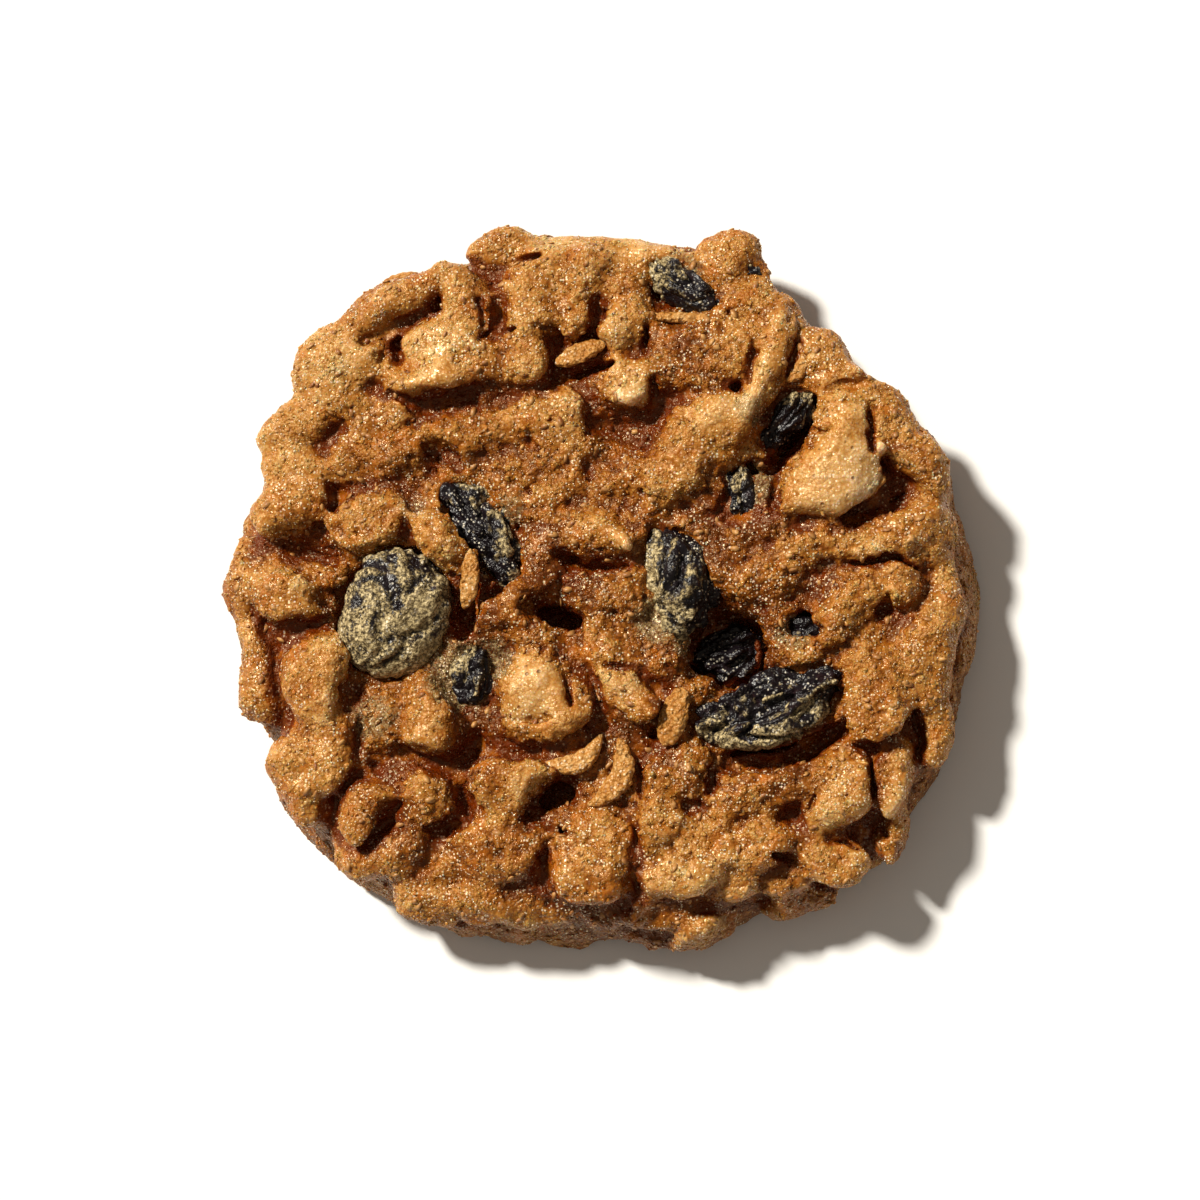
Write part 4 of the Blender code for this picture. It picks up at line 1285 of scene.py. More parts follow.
@dataclass(frozen=True)
class CrustFinish:
    """Baked dough: toasted, grainy, with painted shade in its hollows and pores, painted glints of sugar and
    a floury film beside the raisins.
    """

    name: str = "crust"
    grain_mm: float = 0.36
    bump_mm: float = 0.24
    roughness: float = 0.3
    glow: float = 0.5
    glow_mm: float = 1.4

    def material(self, effects: Effects) -> bpy.types.Material:
        """Builds the material.

        Args:
            effects: The shared effects.

        Returns:
            The material.
        """
        coat = Coat(self.name)
        where, wall, hollow = coat.place(), coat.stored("wall"), coat.stored("hollow")
        soft = coat.remap(coat.stored("tone"), 0.4, 0.8, 0.0, 1.0)
        inputs = {"Where": where, "Size": self.grain_mm, "Pores": 1.0, "Soft": soft}
        grain = coat.effect(effects.grain, inputs)
        colour = self.toasted(coat, effects, where, grain, hollow)
        amber = coat.remap(coat.noise(where, 2.8, 2.0, 0.6), 0.54, 0.68, 0.0, 0.6)
        colour = coat.mix(amber * (1.0 - soft), colour, linear(166, 90, 14))
        # the steep low side wall, all round, is mixed towards a duller grey-brown
        wall_colour = coat.ramp(grain["Grit"], (0.35, linear(92, 62, 38)), (0.7, linear(158, 120, 82)))
        colour = coat.mix(wall * 0.62, colour, wall_colour)
        # painted shade: pores darkened in colour where their dents lie
        colour = coat.mix(grain["Pit"] * 0.7, colour, linear(62, 24, 6))
        colour = self.floured(coat, effects, where, colour)
        # painted highlight: glint spots mixed towards near-white, weaker in hollows and on the wall
        open_place = coat.remap(hollow, 0.1, 0.7, 0.85, 0.4) * (1.0 - wall)
        colour = coat.mix(grain["Glint"] * open_place, colour, linear(255, 232, 196))
        shine = coat.noise(where, 0.5, 3.0, 0.6)
        dull = coat.remap(shine, 0.36, 0.62, self.roughness - 0.16, self.roughness + 0.2)
        coat.set({
            "Base Color": colour,
            "Roughness": dull + wall * 0.35,
            "Specular IOR Level": 0.5,
            "Specular Tint": (1.0, 0.78, 0.5, 1.0),
            "Normal": coat.bump(grain["Height"], self.bump_mm),
            "Subsurface Weight": self.glow,
            "Subsurface Radius": (1.0, 0.4, 0.12),
            "Subsurface Scale": self.glow_mm * MM,
        })
        return coat.material

    @staticmethod
    def toasted(coat: Coat, effects: Effects, where: Value, grain: dict[str, Value], hollow: Value) -> Value:
        """The baked colour, with painted light on open crests and painted shade in hollows.

        Args:
            coat: The material's tree.
            effects: The shared effects.
            where: The place.
            grain: What the grain puts out.
            hollow: How hollow each point lies.

        Returns:
            The colour.
        """
        broad = coat.noise(where, 4.4, 3.0, 0.6)
        toast_and_shade = coat.effect(effects.toast_and_shade, {
            "Tone": coat.stored("tone"),
            "Hollow": hollow,
            "Rise": coat.stored("rise"),
            "Mottle": broad * 0.55 + grain["Grit"] * 0.45,
        })
        return toast_and_shade["Color"]

    @staticmethod
    def floured(coat: Coat, effects: Effects, where: Value, colour: Value) -> Value:
        """Floury film laid over a colour.

        Args:
            coat: The material's tree.
            effects: The shared effects.
            where: The place.
            colour: What lies under it.

        Returns:
            The colour.
        """
        cover = coat.stored("film")
        film = coat.effect(effects.film, {"Where": where, "Cover": cover})
        flour = coat.ramp(
            film["Shade"],
            (0.36, linear(44, 32, 18)), (0.5, linear(112, 92, 58)), (0.64, linear(176, 152, 108)),
        )
        return coat.mix(film["Mask"] * coat.remap(cover, 0.1, 0.8, 0.0, 0.75), colour, flour)


@dataclass(frozen=True)
class RaisinFinish:
    """Wrinkled skin, nearly black, under a broken floury film."""

    name: str = "raisin"
    grain_mm: float = 0.34
    bump_mm: float = 0.24
    roughness: float = 0.3

    def material(self, effects: Effects) -> bpy.types.Material:
        """Builds the material.

        Args:
            effects: The shared effects.

        Returns:
            The material.
        """
        coat = Coat(self.name)
        where = coat.place()
        film = coat.effect(effects.film, {"Where": where, "Cover": coat.stored("film")})
        skin = coat.ramp(
            coat.noise(where, 1.6, 3.0, 0.6),
            (0.3, linear(8, 6, 9)), (0.6, linear(22, 14, 19)), (0.8, linear(48, 27, 29)),
        )
        flour = coat.ramp(
            film["Shade"],
            (0.34, linear(92, 76, 48)), (0.48, linear(140, 120, 80)), (0.62, linear(200, 180, 134)),
        )
        grain = coat.effect(effects.grain, {"Where": where, "Size": self.grain_mm, "Pores": 0.3})
        colour = coat.mix(film["Mask"], skin, flour)
        coat.set({
            # painted highlight: glint spots mixed towards near-white in the colour
            "Base Color": coat.mix(grain["Glint"] * 0.7, colour, linear(236, 226, 204)),
            "Roughness": coat.remap(film["Mask"], 0.1, 0.7, self.roughness, 0.5),
            "Specular IOR Level": 0.36,
            "Normal": coat.bump(film["Mask"] * 0.35 + grain["Height"] * 0.8, self.bump_mm),
        })
        return coat.material


@dataclass(frozen=True)
class OatFinish:
    """A toasted oat flake: pale and grainy, with pores darkened as painted shade and a few glints painted in
    as highlights.
    """

    name: str = "oat"
    grain_mm: float = 0.38
    bump_mm: float = 0.3
    tone: float = 0.56
    glow: float = 0.12
    glow_mm: float = 1.0

    def material(self, effects: Effects) -> bpy.types.Material:
        """Builds the material.

        Args:
            effects: The shared effects.

        Returns:
            The material.
        """
        coat = Coat(self.name)
        where = coat.place()
        inputs = {"Where": where, "Size": self.grain_mm, "Pores": 0.8, "Soft": 0.2}
        grain = coat.effect(effects.grain, inputs)
        toast_and_shade = coat.effect(effects.toast_and_shade, {
            "Tone": self.tone,
            "Hollow": coat.stored("hollow"),
            "Rise": 0.5,
            "Mottle": coat.noise(where, 3.0, 2.0) * 0.5 + grain["Grit"] * 0.5,
        })
        # painted shade: pores darkened in colour
        colour = coat.mix(grain["Pit"] * 0.6, toast_and_shade["Color"], linear(84, 38, 10))
        coat.set({
            # painted highlight: glint spots mixed towards near-white in the colour
            "Base Color": coat.mix(grain["Glint"] * 0.6, colour, linear(255, 236, 204)),
            "Roughness": coat.remap(coat.noise(where, 0.7, 2.0), 0.35, 0.65, 0.3, 0.6),
            "Normal": coat.bump(grain["Height"], self.bump_mm),
            "Specular Tint": (1.0, 0.84, 0.58, 1.0),
            "Subsurface Weight": self.glow,
            "Subsurface Radius": (1.0, 0.5, 0.2),
            "Subsurface Scale": self.glow_mm * MM,
        })
        return coat.material


@dataclass(frozen=True)
class CrumbFinish:
    """Loose crumbs: toasted specks of several shades."""

    name: str
    dark: tuple[float, float, float, float]
    pale: tuple[float, float, float, float]
    roughness: float

    def material(self) -> bpy.types.Material:
        """Builds the material."""
        coat = Coat(self.name)
        patches = coat.noise(coat.place(), 1.1, 3.0, 0.6)
        colour = coat.ramp(patches, (0.32, self.dark), (0.68, self.pale))
        coat.set({"Base Color": colour, "Roughness": self.roughness})
        return coat.material


# ---------------------------------------------------------------- geometry trees


def relief_tree() -> Shaping:
    """Lumps, blisters and pores pressed out of and into a skin.

    Returns:
        A tree that takes each one's size and height in millimetres, and a seed.
    """
    takes = {
        "Lump Size": (FLOAT, 2.2),
        "Lump Height": (FLOAT, 0.3),
        "Blister Size": (FLOAT, 0.9),
        "Blister Height": (FLOAT, 0.16),
        "Pore Size": (FLOAT, 1.5),
        "Pore Depth": (FLOAT, 0.4),
        "Seed": (FLOAT, 0.0),
    }
    tree = Shaping("relief", takes)
    place = tree.value("GeometryNodeInputPosition")
    apart = tree.value("ShaderNodeCombineXYZ", {0: tree.take("Seed"), 1: 0.0, 2: 0.0})
    where = tree.vector("ADD", tree.scaled(place, 1 / MM), apart)

    def at(size: str) -> Value:
        """The place, measured in one of the sizes."""
        return tree.scaled(where, 1.0 / tree.take(size))

    def cells(size: str) -> Value:
        """How far each point is from the middle of its cell."""
        return tree.value("ShaderNodeTexVoronoi", {"Vector": at(size), "Scale": 1.0}, "Distance")

    inputs = {"Vector": at("Lump Size"), "Scale": 1.0, "Detail": 2.0, "Distortion": 0.3}
    lumps = (tree.value("ShaderNodeTexNoise", inputs) - 0.5) * 2.0 * tree.take("Lump Height")
    away = cells("Blister Size")
    blisters = (0.25 - away * away) * 3.0 * tree.take("Blister Height")
    chance = tree.value("ShaderNodeTexNoise", {"Vector": at("Pore Size"), "Scale": 0.6, "Detail": 1.0})
    pore = tree.remap(cells("Pore Size"), 0.1, 0.34, 1.0, 0.0) * tree.remap(chance, 0.46, 0.6, 0.0, 1.0)
    rise = lumps + blisters - pore * tree.take("Pore Depth")
    tree.finish(tree.moved(tree.take("Geometry"), tree.outward(rise * tree.read("crust") * MM)))
    return tree


def wrinkle_tree() -> Shaping:
    """The skin of a dried fruit: long creases, short creases and a fine pucker.

    Returns:
        A tree that takes the way the fruit lies, its creases' sizes and depths in millimetres, and a seed.
    """
    takes = {
        "Centre": (VECTOR, None),
        "Turn": (FLOAT, 0.0),
        "Stretch": (FLOAT, 0.4),
        "Crease Size": (FLOAT, 3.4),
        "Crease Depth": (FLOAT, 0.9),
        "Pucker Size": (FLOAT, 1.3),
        "Pucker Depth": (FLOAT, 0.3),
        "Swell": (FLOAT, 0.5),
        "Seed": (FLOAT, 0.0),
    }
    tree = Shaping("wrinkles", takes)
    centre, seed = tree.take("Centre"), tree.take("Seed")
    inputs = {
        "Vector": tree.value("GeometryNodeInputPosition"),
        "Center": centre,
        "Angle": tree.take("Turn") * -1.0,
    }
    turned = tree.value("ShaderNodeVectorRotate", inputs, rotation_type="Z_AXIS")
    local = tree.scaled(tree.vector("SUBTRACT", turned, centre), 1 / MM)
    stretch = tree.value("ShaderNodeCombineXYZ", {0: tree.take("Stretch"), 1: 1.0, 2: 1.0})
    apart = tree.value("ShaderNodeCombineXYZ", {0: seed, 1: seed, 2: 0.0})
    where = tree.vector("ADD", tree.vector("MULTIPLY", local, stretch), apart)

    def creases(size: str, depth: str, swirl: float) -> tuple[Value, Value]:
        """Narrow valleys where soft noise passes its middle: how much of a point is ridge, and its drop."""
        at = tree.scaled(where, 1.0 / tree.take(size))
        inputs = {"Vector": at, "Scale": 1.0, "Detail": 1.5, "Distortion": swirl}
        off = tree.math("ABSOLUTE", tree.value("ShaderNodeTexNoise", inputs) - 0.5)
        ridge = tree.remap(off, 0.0, 0.13, 0.0, 1.0)
        return ridge, (ridge - 1.0) * tree.take(depth)

    long_ridge, long_drop = creases("Crease Size", "Crease Depth", 0.9)
    short_ridge, short_drop = creases("Pucker Size", "Pucker Depth", 0.5)
    fine = tree.value("ShaderNodeTexNoise", {"Vector": local, "Scale": 2.2, "Detail": 2.0})
    rise = long_drop + short_drop + tree.take("Swell") + (fine - 0.5) * 0.14
    moved = tree.moved(tree.take("Geometry"), tree.outward(rise * MM))
    inputs = {"Geometry": moved, "Name": "ridge"}
    kept = tree.node("GeometryNodeStoreNamedAttribute", inputs, data_type="FLOAT", domain="POINT")
    tree.feed(kept.inputs["Value"], long_ridge * (short_ridge * 0.4 + 0.6))
    tree.finish(Value(tree, kept.outputs[0]))
    return tree


class Grit(Enum):
    """What a scattered grain is shaped like."""

    CRUMB = "crumb"
    GRANULE = "granule"
    SUGAR = "sugar"
    BRAN = "bran"


class Scatter(Shaping):
    """Grains strewn over a skin, each turned and sized at random and sunk a little way in."""

    def __init__(self, grit: Grit) -> None:
        """Builds the tree.

        It takes how many grains there are to a square millimetre, their least and greatest size in
        millimetres, how far they sink and a seed. The painted value strewn says where they lie.

        Args:
            grit: Their shape.
        """
        super().__init__(f"scatter_{grit.value}", {
            "Per Square": (FLOAT, 1.0),
            "Least": (FLOAT, 0.1),
            "Most": (FLOAT, 0.3),
            "Sink": (FLOAT, 0.3),
            "Seed": (WHOLE, 0),
        })
        inputs = {"Mesh": self.take("Geometry"), "Seed": self.take("Seed")}
        points = self.node("GeometryNodeDistributePointsOnFaces", inputs, distribute_method="RANDOM")
        density = self.math("DIVIDE", self.take("Per Square"), MM * MM)
        self.feed(points.inputs["Density"], density * self.read("strewn"))
        inputs = {2: self.take("Least"), 3: self.take("Most"), "Seed": self.take("Seed")}
        scale = self.value("FunctionNodeRandomValue", inputs, 1, data_type="FLOAT") * MM
        normal = Value(self, points.outputs["Normal"])
        down = self.scaled(normal, scale * self.take("Sink") * -1.0)
        spots = self.moved(Value(self, points.outputs["Points"]), down)
        flat = grit is Grit.BRAN
        turn = Value(self, points.outputs["Rotation"]) if flat else self.random_turn((0.0,) * 3, (6.28,) * 3)
        inputs = {"Points": spots, "Instance": self.grain(grit), "Rotation": turn, "Scale": scale}
        strewn = self.value("GeometryNodeInstanceOnPoints", inputs)
        if flat:
            tilt = self.random_turn((-0.5, -0.5, 0.0), (0.5, 0.5, 6.28))
            strewn = self.value("GeometryNodeRotateInstances", {"Instances": strewn, "Rotation": tilt})
        self.finish(self.value("GeometryNodeRealizeInstances", {"Geometry": strewn}))

    def random_turn(self, least: tuple, most: tuple) -> Value:
        """A turn about each axis, at random between two."""
        inputs = {0: least, 1: most, "Seed": self.take("Seed")}
        return self.value("FunctionNodeRandomValue", inputs, data_type="FLOAT_VECTOR")

    def grain(self, grit: Grit) -> Value:
        """One grain, about 1 across.

        Args:
            grit: Its shape.

        Returns:
            Its geometry.
        """
        if grit is Grit.SUGAR:
            return self.value("GeometryNodeMeshCube", {"Size": (1.0, 0.8, 0.7)})
        if grit is Grit.BRAN:
            flake = self.value("GeometryNodeMeshCylinder", {"Vertices": 7, "Radius": 0.5, "Depth": 0.14})
            return self.value("GeometryNodeTransform", {"Geometry": flake, "Scale": (1.0, 0.55, 1.0)})
        rounds = 2 if grit is Grit.CRUMB else 1
        ball = self.value("GeometryNodeMeshIcoSphere", {"Radius": 0.5, "Subdivisions": rounds})
        bumps = self.value("ShaderNodeTexNoise", {"Scale": 2.1, "Detail": 2.0})
        rough = self.moved(ball, self.outward((bumps - 0.5) * 0.9))
        return self.value("GeometryNodeSetShadeSmooth", {"Geometry": rough})


# ---------------------------------------------------------------- the cookie's parts


@dataclass
class Fruit:
    """A raisin's place and how its skin looks."""

    node: str
    seed: float
    film: float
    film_from: float
    crease: float = 0.9
    crease_size: float = 3.4
    stretch: float = 0.4
    collar: float = -0.8
    swell: float = 0.6
    film_lean: float = 0.45
    pucker: float = 0.3

    def frame(self) -> tuple[np.ndarray, np.ndarray, np.ndarray]:
        """Where the raisin lies, from its solid.

        Returns:
            Its middle, its three directions (one a row, the longest first) and its half sizes.
        """
        points = np.unique(points_of(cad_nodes()[self.node].data).round(3), axis=0)
        middle = (points.min(0) + points.max(0)) / 2
        spread = np.cov((points - points.mean(0)).T)
        directions = np.linalg.eigh(spread)[1].T[::-1]
        local = (points - middle) @ directions.T
        return middle, directions, np.abs(local).max(0)


FRUITS: tuple[Fruit, ...] = (
    Fruit("raisin_round", 3.0, 0.95, -100, 0.45, 5.4, 0.8, -1.6, 0.8, 0.16, 0.14),
    Fruit("raisin_under_flake", 11.0, 0.5, 30, 1.0, 3.0, 0.4, -0.9, 0.5, 0.4),
    Fruit("raisin_upright", 17.0, 0.72, -150, 0.6, 3.6, 0.6, -0.5, 1.1, 0.7),
    Fruit("raisin_sunken", 23.0, 0.0, 0, 0.8, 3.0, 0.4, -0.8, 0.1, 0.0),
    Fruit("raisin_folded", 29.0, 0.56, -80, 1.2, 3.0, 0.4, -0.9, 0.5, 0.6),
    Fruit("raisin_torn", 31.0, 0.3, 90, 0.5, 2.0),
    Fruit("raisin_rim", 37.0, 0.62, 140, 0.8, 2.4),
    Fruit("raisin_rim_small", 41.0, 0.35, 140, 0.5, 2.0, 0.4, -0.4, 0.3),
    Fruit("raisin_slit", 43.0, 0.4, 60, 0.7, 2.4, 0.4, -0.4, 0.2, 0.7),
    Fruit("raisin_wedged", 47.0, 0.55, 140, 0.5, 2.4, 0.4, 0.2, 0.1),
    Fruit("raisin_coated", 53.0, 0.6, 140, 0.6, 2.6, 0.4, 0.3, 0.2, 0.3),
)


@dataclass
class Dough:
    """The baked dough, with the oat flakes that are melted into it."""

    effects: Effects
    step: float = 0.28
    coarse: float = 0.9
    melt: float = 1.4
    triangles: int = 196000
    plain_tone: float = 0.22
    bends: tuple[tuple[float, float], ...] = ((6.5, 0.7), (2.8, 0.45), (1.3, 0.2))
    swellings: tuple[tuple[float, float], ...] = ((3.2, 0.34), (1.6, 0.12))
    crown: Crown = Crown()
    feelers: tuple[tuple[float, float], ...] = ((0.6, 0.2), (1.4, 0.35), (3.0, 0.45))
    soft_rounds: int = 6
    form_size: float = 3.6
    form_share: float = 0.45
    filler_flakes: int = 130
    side_flakes: int = 80
    greatest_height: float = 12.8
    headroom: float = 0.6
    base_pits: int = 140
    seed: int = 7
    clay: Clay = field(init=False)
    piece: bpy.types.Object = field(init=False)

    def build(self) -> bpy.types.Object:
        """Makes the dough's mesh.

        Returns:
            The dough.
        """
        low, high = (np.array(corner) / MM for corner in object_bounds())
        self.clay = Clay(low - (2, 2, 1), high + (2, 2, 1.6), self.step)
        self.clay.start_from(Solid("dough"), self.coarse)
        self.clay.tone[:] = self.plain_tone
        for number, (size, reach) in enumerate(self.bends):
            self.clay.stir(size, reach, self.seed + 10 * number)
        self.clay.raise_crown(self.crown)
        self.fill_gaps()
        for flake in FLAKES:
            least = min(self.clay.crest(flake.x, flake.y) + 0.2, self.greatest_height)
            self.clay.add(flake._replace(top=max(flake.top, least)), self.melt * (2.0 - 1.3 * flake.crisp))
        self.clad_side()
        self.clay.soften(self.soft_rounds)
        self.clay.deepen(self.form_size, self.form_share)
        for number, (size, reach) in enumerate(self.swellings):
            self.clay.roughen(size, reach, self.seed + 30 + number)
        self.bed_raisins()
        self.bed_flakes()
        for crack in [self.set_in_dough(crack) for crack in CRACKS]:
            self.clay.cut(crack, 0.4 + 0.35 * crack.wide)
        self.clay.level()
        self.pit_base()
        points, quads = self.clay.skin()
        mesh = mesh_of("dough_crust", points, quads)
        self.piece = new_piece("dough_crust", mesh)
        log.info("dough: %d faces before thinning", len(quads))
        return self.piece

    def rng(self, salt: int) -> np.random.Generator:
        """A source of random numbers for one job."""
        return np.random.default_rng(self.seed * 100 + salt)

    def set_in_dough(self, crack: Crack) -> Crack:
        """The same crack, with its floor set by the height of the dough round its middle."""
        x, y, _ = crack.centre
        crest = self.crest_round(x, y, crack.wide / 2 + 0.8, np.linspace(0, math.tau, 12, endpoint=False))
        return crack._replace(floor=crest - crack.deep)

    def crest_round(self, x: float, y: float, reach: float, turns: np.ndarray) -> float:
        """The middle one of the dough's heights round a place.

        Args:
            x: The place.
            y: The place.
            reach: How far from it the heights are taken.
            turns: The ways in which they are taken, in radians.

        Returns:
            The height.
        """
        crests = [self.clay.crest(x + reach * math.cos(turn), y + reach * math.sin(turn)) for turn in turns]
        return float(np.median(crests))

    def fill_gaps(self) -> None:
        """Lays small flakes all over the top, low enough that the named ones stand above them."""
        rng = self.rng(1)
        for _ in range(self.filler_flakes):
            angle, reach = rng.uniform(0, math.tau), 37 * math.sqrt(rng.uniform(0, 1))
            x, y = reach * math.cos(angle), reach * math.sin(angle)
            crest = self.clay.crest(x, y)
            if crest < 5:
                continue
            long = rng.uniform(3.4, 7.0)
            toward = rng.normal(130, 60)
            top = min(crest + rng.uniform(-0.1, 0.4), self.greatest_height)
            flake = Lump(
                x, y, top, long, long * rng.uniform(0.5, 0.8), rng.uniform(0.9, 1.6),
                rng.uniform(0, 180), rng.uniform(6, 30), toward, rng.uniform(0.1, 0.6),
                rng.uniform(-0.4, 0.4), rng.uniform(-0.2, 0.4), rng.uniform(0.2, 0.7),
            )
            self.clay.add(flake, 1.3)

    def clad_side(self) -> None:
        """Lays flakes on the cookie's side, facing outwards."""
        rng = self.rng(2)
        for number in range(self.side_flakes):
            angle = math.tau * number / self.side_flakes + rng.uniform(-0.05, 0.05)
            height = rng.uniform(1.6, 6.6)
            line = np.linspace(44, 30, 90)
            along = np.stack([line * math.cos(angle), line * math.sin(angle), np.full(90, height)], 1)
            inside = np.nonzero(self.clay.sample(self.clay.away, along) < 0)[0]
            if not len(inside):
                continue
            reach = line[inside[0]] - 0.7
            thick, long = rng.uniform(1.0, 1.6), rng.uniform(3.5, 7.0)
            flake = Lump(
                reach * math.cos(angle), reach * math.sin(angle), height + thick / 2,
                long, long * rng.uniform(0.45, 0.7), thick,
                math.degrees(angle) + 90 + rng.uniform(-40, 40), rng.uniform(58, 84),
                math.degrees(angle) + rng.uniform(-12, 12), rng.uniform(0.2, 0.7),
                rng.uniform(-0.4, 0.4), rng.uniform(0, 0.4), rng.uniform(0.2, 0.7),
            )
            self.clay.add(flake, 1.1)

    def bed_raisins(self) -> None:
        """Brings the dough up to each raisin's side, and keeps it off the raisin's top."""
        for fruit in FRUITS:
            bed = Bed(*fruit.frame())
            self.clay.cut(bed.grown(0.1), 0.3)
            reach = math.hypot(*bed.half[:2]) * 0.7 + 1.6
            crest = self.crest_round(bed.centre[0], bed.centre[1], reach, np.linspace(0, math.tau, 24))
            bed.lid = min(crest + fruit.collar, bed.centre[2] + 0.6)
            self.clay.add(bed.grown(0.0), 1.2)
            bed.lid = math.inf
            self.clay.cut(bed.grown(-1.4), 0.3)

    def bed_flakes(self) -> None:
        """Brings the dough up to the lower half of each loose flake."""
        for node in [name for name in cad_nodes() if name.startswith("oat_")]:
            bed = Bed(*Fruit(node, 0.0, 0.0, 0.0).frame(), 0.3)
            bed.lid = float(bed.centre[2]) - 0.5
            self.clay.add(bed.grown(0.2), 0.8)

    def pit_base(self) -> None:
        """Presses shallow air holes into the flat base."""
        rng = self.rng(3)
        for _ in range(self.base_pits):
            angle, reach = rng.uniform(0, math.tau), 36 * math.sqrt(rng.uniform(0, 1))
            wide = rng.uniform(0.8, 2.6)
            pit = Bed(
                np.array((reach * math.cos(angle), reach * math.sin(angle), -0.1 * wide)),
                np.eye(3), np.array((wide, wide * rng.uniform(0.5, 1), 0.4 * wide)) / 2,
            )
            self.clay.cut(pit, 0.2)

    def dress(self) -> None:
        """Lays the relief over the dough, thins it out, and paints what its finish reads."""
        mesh = self.piece.data
        points = points_of(mesh)
        tone = self.clay.sample(self.clay.tone, points - 0.3 * normals_of(mesh))
        rim = smooth_step(29, 36, np.hypot(points[:, 0], points[:, 1]))
        calm = (1 - 0.7 * smooth_step(0.35, 0.8, tone)) * (1 - 0.45 * rim)
        paint(mesh, "crust", smooth_step(0.25, 1.0, points[:, 2]) * calm)
        finish = CrustFinish().material(self.effects)
        values = {"Lump Size": 2.2, "Lump Height": 0.26, "Blister Size": 1.0, "Blister Height": 0.18}
        relief_tree().run(self.piece, {**values, "Material": finish})
        thin = self.piece.modifiers.new("thin", "DECIMATE")
        thin.ratio = min(1.0, self.triangles / (2 * len(mesh.polygons)))
        baked(self.piece)
        self.paint_values(self.piece.data)
        points = points_of(self.piece.data)
        points[:, 2] = np.clip(points[:, 2], 0, self.greatest_height + self.headroom)
        self.piece.data.vertices.foreach_set("co", (points * MM).ravel())
        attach(self.piece, BODY)
        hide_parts("dough")
        log.info("dough: %d faces", len(self.piece.data.polygons))

    def paint_values(self, mesh: bpy.types.Mesh) -> None:
        """Paints how pale, hollow, floury and steep each point is, and where grains may lie. Patches of
        browning and painted shade lower the tone and raise hollow, which the finish paints darker.

        Args:
            mesh: The crust's mesh, or that of crumbs that lie on it.
        """
        points, normals = points_of(mesh), normals_of(mesh)
        # painted shade, partly real browning: these patches lower the tone and raise hollow, which the
        # finish paints darker
        browning_and_shade = strongest(BROWNING_AND_SHADE_PATCHES, points, 0.3)
        tone = self.clay.sample(self.clay.tone, points - 0.3 * normals)
        blotch = Cloud(self.seed + 40).at(points.T, 2.4)
        browning_and_shade *= (1 - smooth_step(0.55, 0.9, tone)) * (0.45 + 0.55 * smooth_step(-0.3, 0.3, blotch))
        paint(mesh, "tone", np.clip(tone - 0.4 * browning_and_shade, 0, 1))
        hollow = np.zeros(len(points), np.float32)
        for away, share in self.feelers:
            free = self.clay.sample(self.clay.away, points + away * normals)
            hollow += share * (1 - np.clip(free / away, 0, 1))
        # the patches count most in hollows, where shade falls
        browning_and_shade *= 0.35 + 0.65 * smooth_step(0.05, 0.4, hollow)
        lift = self.clay.sample(self.clay.lift, points)
        hollow = np.clip(hollow - 0.9 * np.minimum(lift, 0) - 0.3 * np.maximum(lift, 0), 0, 1)
        paint(mesh, "hollow", np.minimum(hollow + 0.45 * browning_and_shade, 1))
        paint(mesh, "rise", np.clip(0.5 + 1.1 * self.clay.sample(self.clay.away, points), 0, 1))
        paint(mesh, "film", strongest(STAINS, points, 0.35) * smooth_step(6, 8, points[:, 2]))
        steep = 1 - smooth_step(0.15, 0.7, normals[:, 2])
        outward = smooth_step(31, 35, np.hypot(points[:, 0], points[:, 1]))
        paint(mesh, "wall", steep * outward * (1 - smooth_step(5.5, 8.5, points[:, 2])))
        low = 1 - smooth_step(self.greatest_height - 0.8, self.greatest_height - 0.2, points[:, 2])
        paint(mesh, "strewn", smooth_step(-0.2, 0.5, normals[:, 2]) * (1 - hollow) * low)


@dataclass
class Bed:
    """An ellipsoid in the dough: a raisin's place, or an air hole."""

    centre: np.ndarray
    directions: np.ndarray
    half: np.ndarray
    tone: float = 0.2
    lid: float = math.inf

    @property
    def reach(self) -> float:
        """How far its ends are from its middle."""
        return float(self.half.max())

    def grown(self, gap: float) -> "Bed":
        """The same, larger all round."""
        return Bed(self.centre, self.directions, np.maximum(self.half + gap, 0.3), self.tone, self.lid)

    def distance(self, places: Sequence[np.ndarray]) -> np.ndarray:
        """How far places are from its skin, less than 0 inside.

        Args:
            places: Arrays of X, Y and Z.

        Returns:
            An array of distances.
        """
        x, y, z = (axis - middle for axis, middle in zip(places, self.centre))
        local = [row[0] * x + row[1] * y + row[2] * z for row in self.directions]
        near = np.sqrt(sum((value / half) ** 2 for value, half in zip(local, self.half))) + 1e-6
        slope = np.sqrt(sum((value / half**2) ** 2 for value, half in zip(local, self.half))) + 1e-6
        return np.maximum(near * (near - 1) / slope, places[2] - self.lid).astype(np.float32)


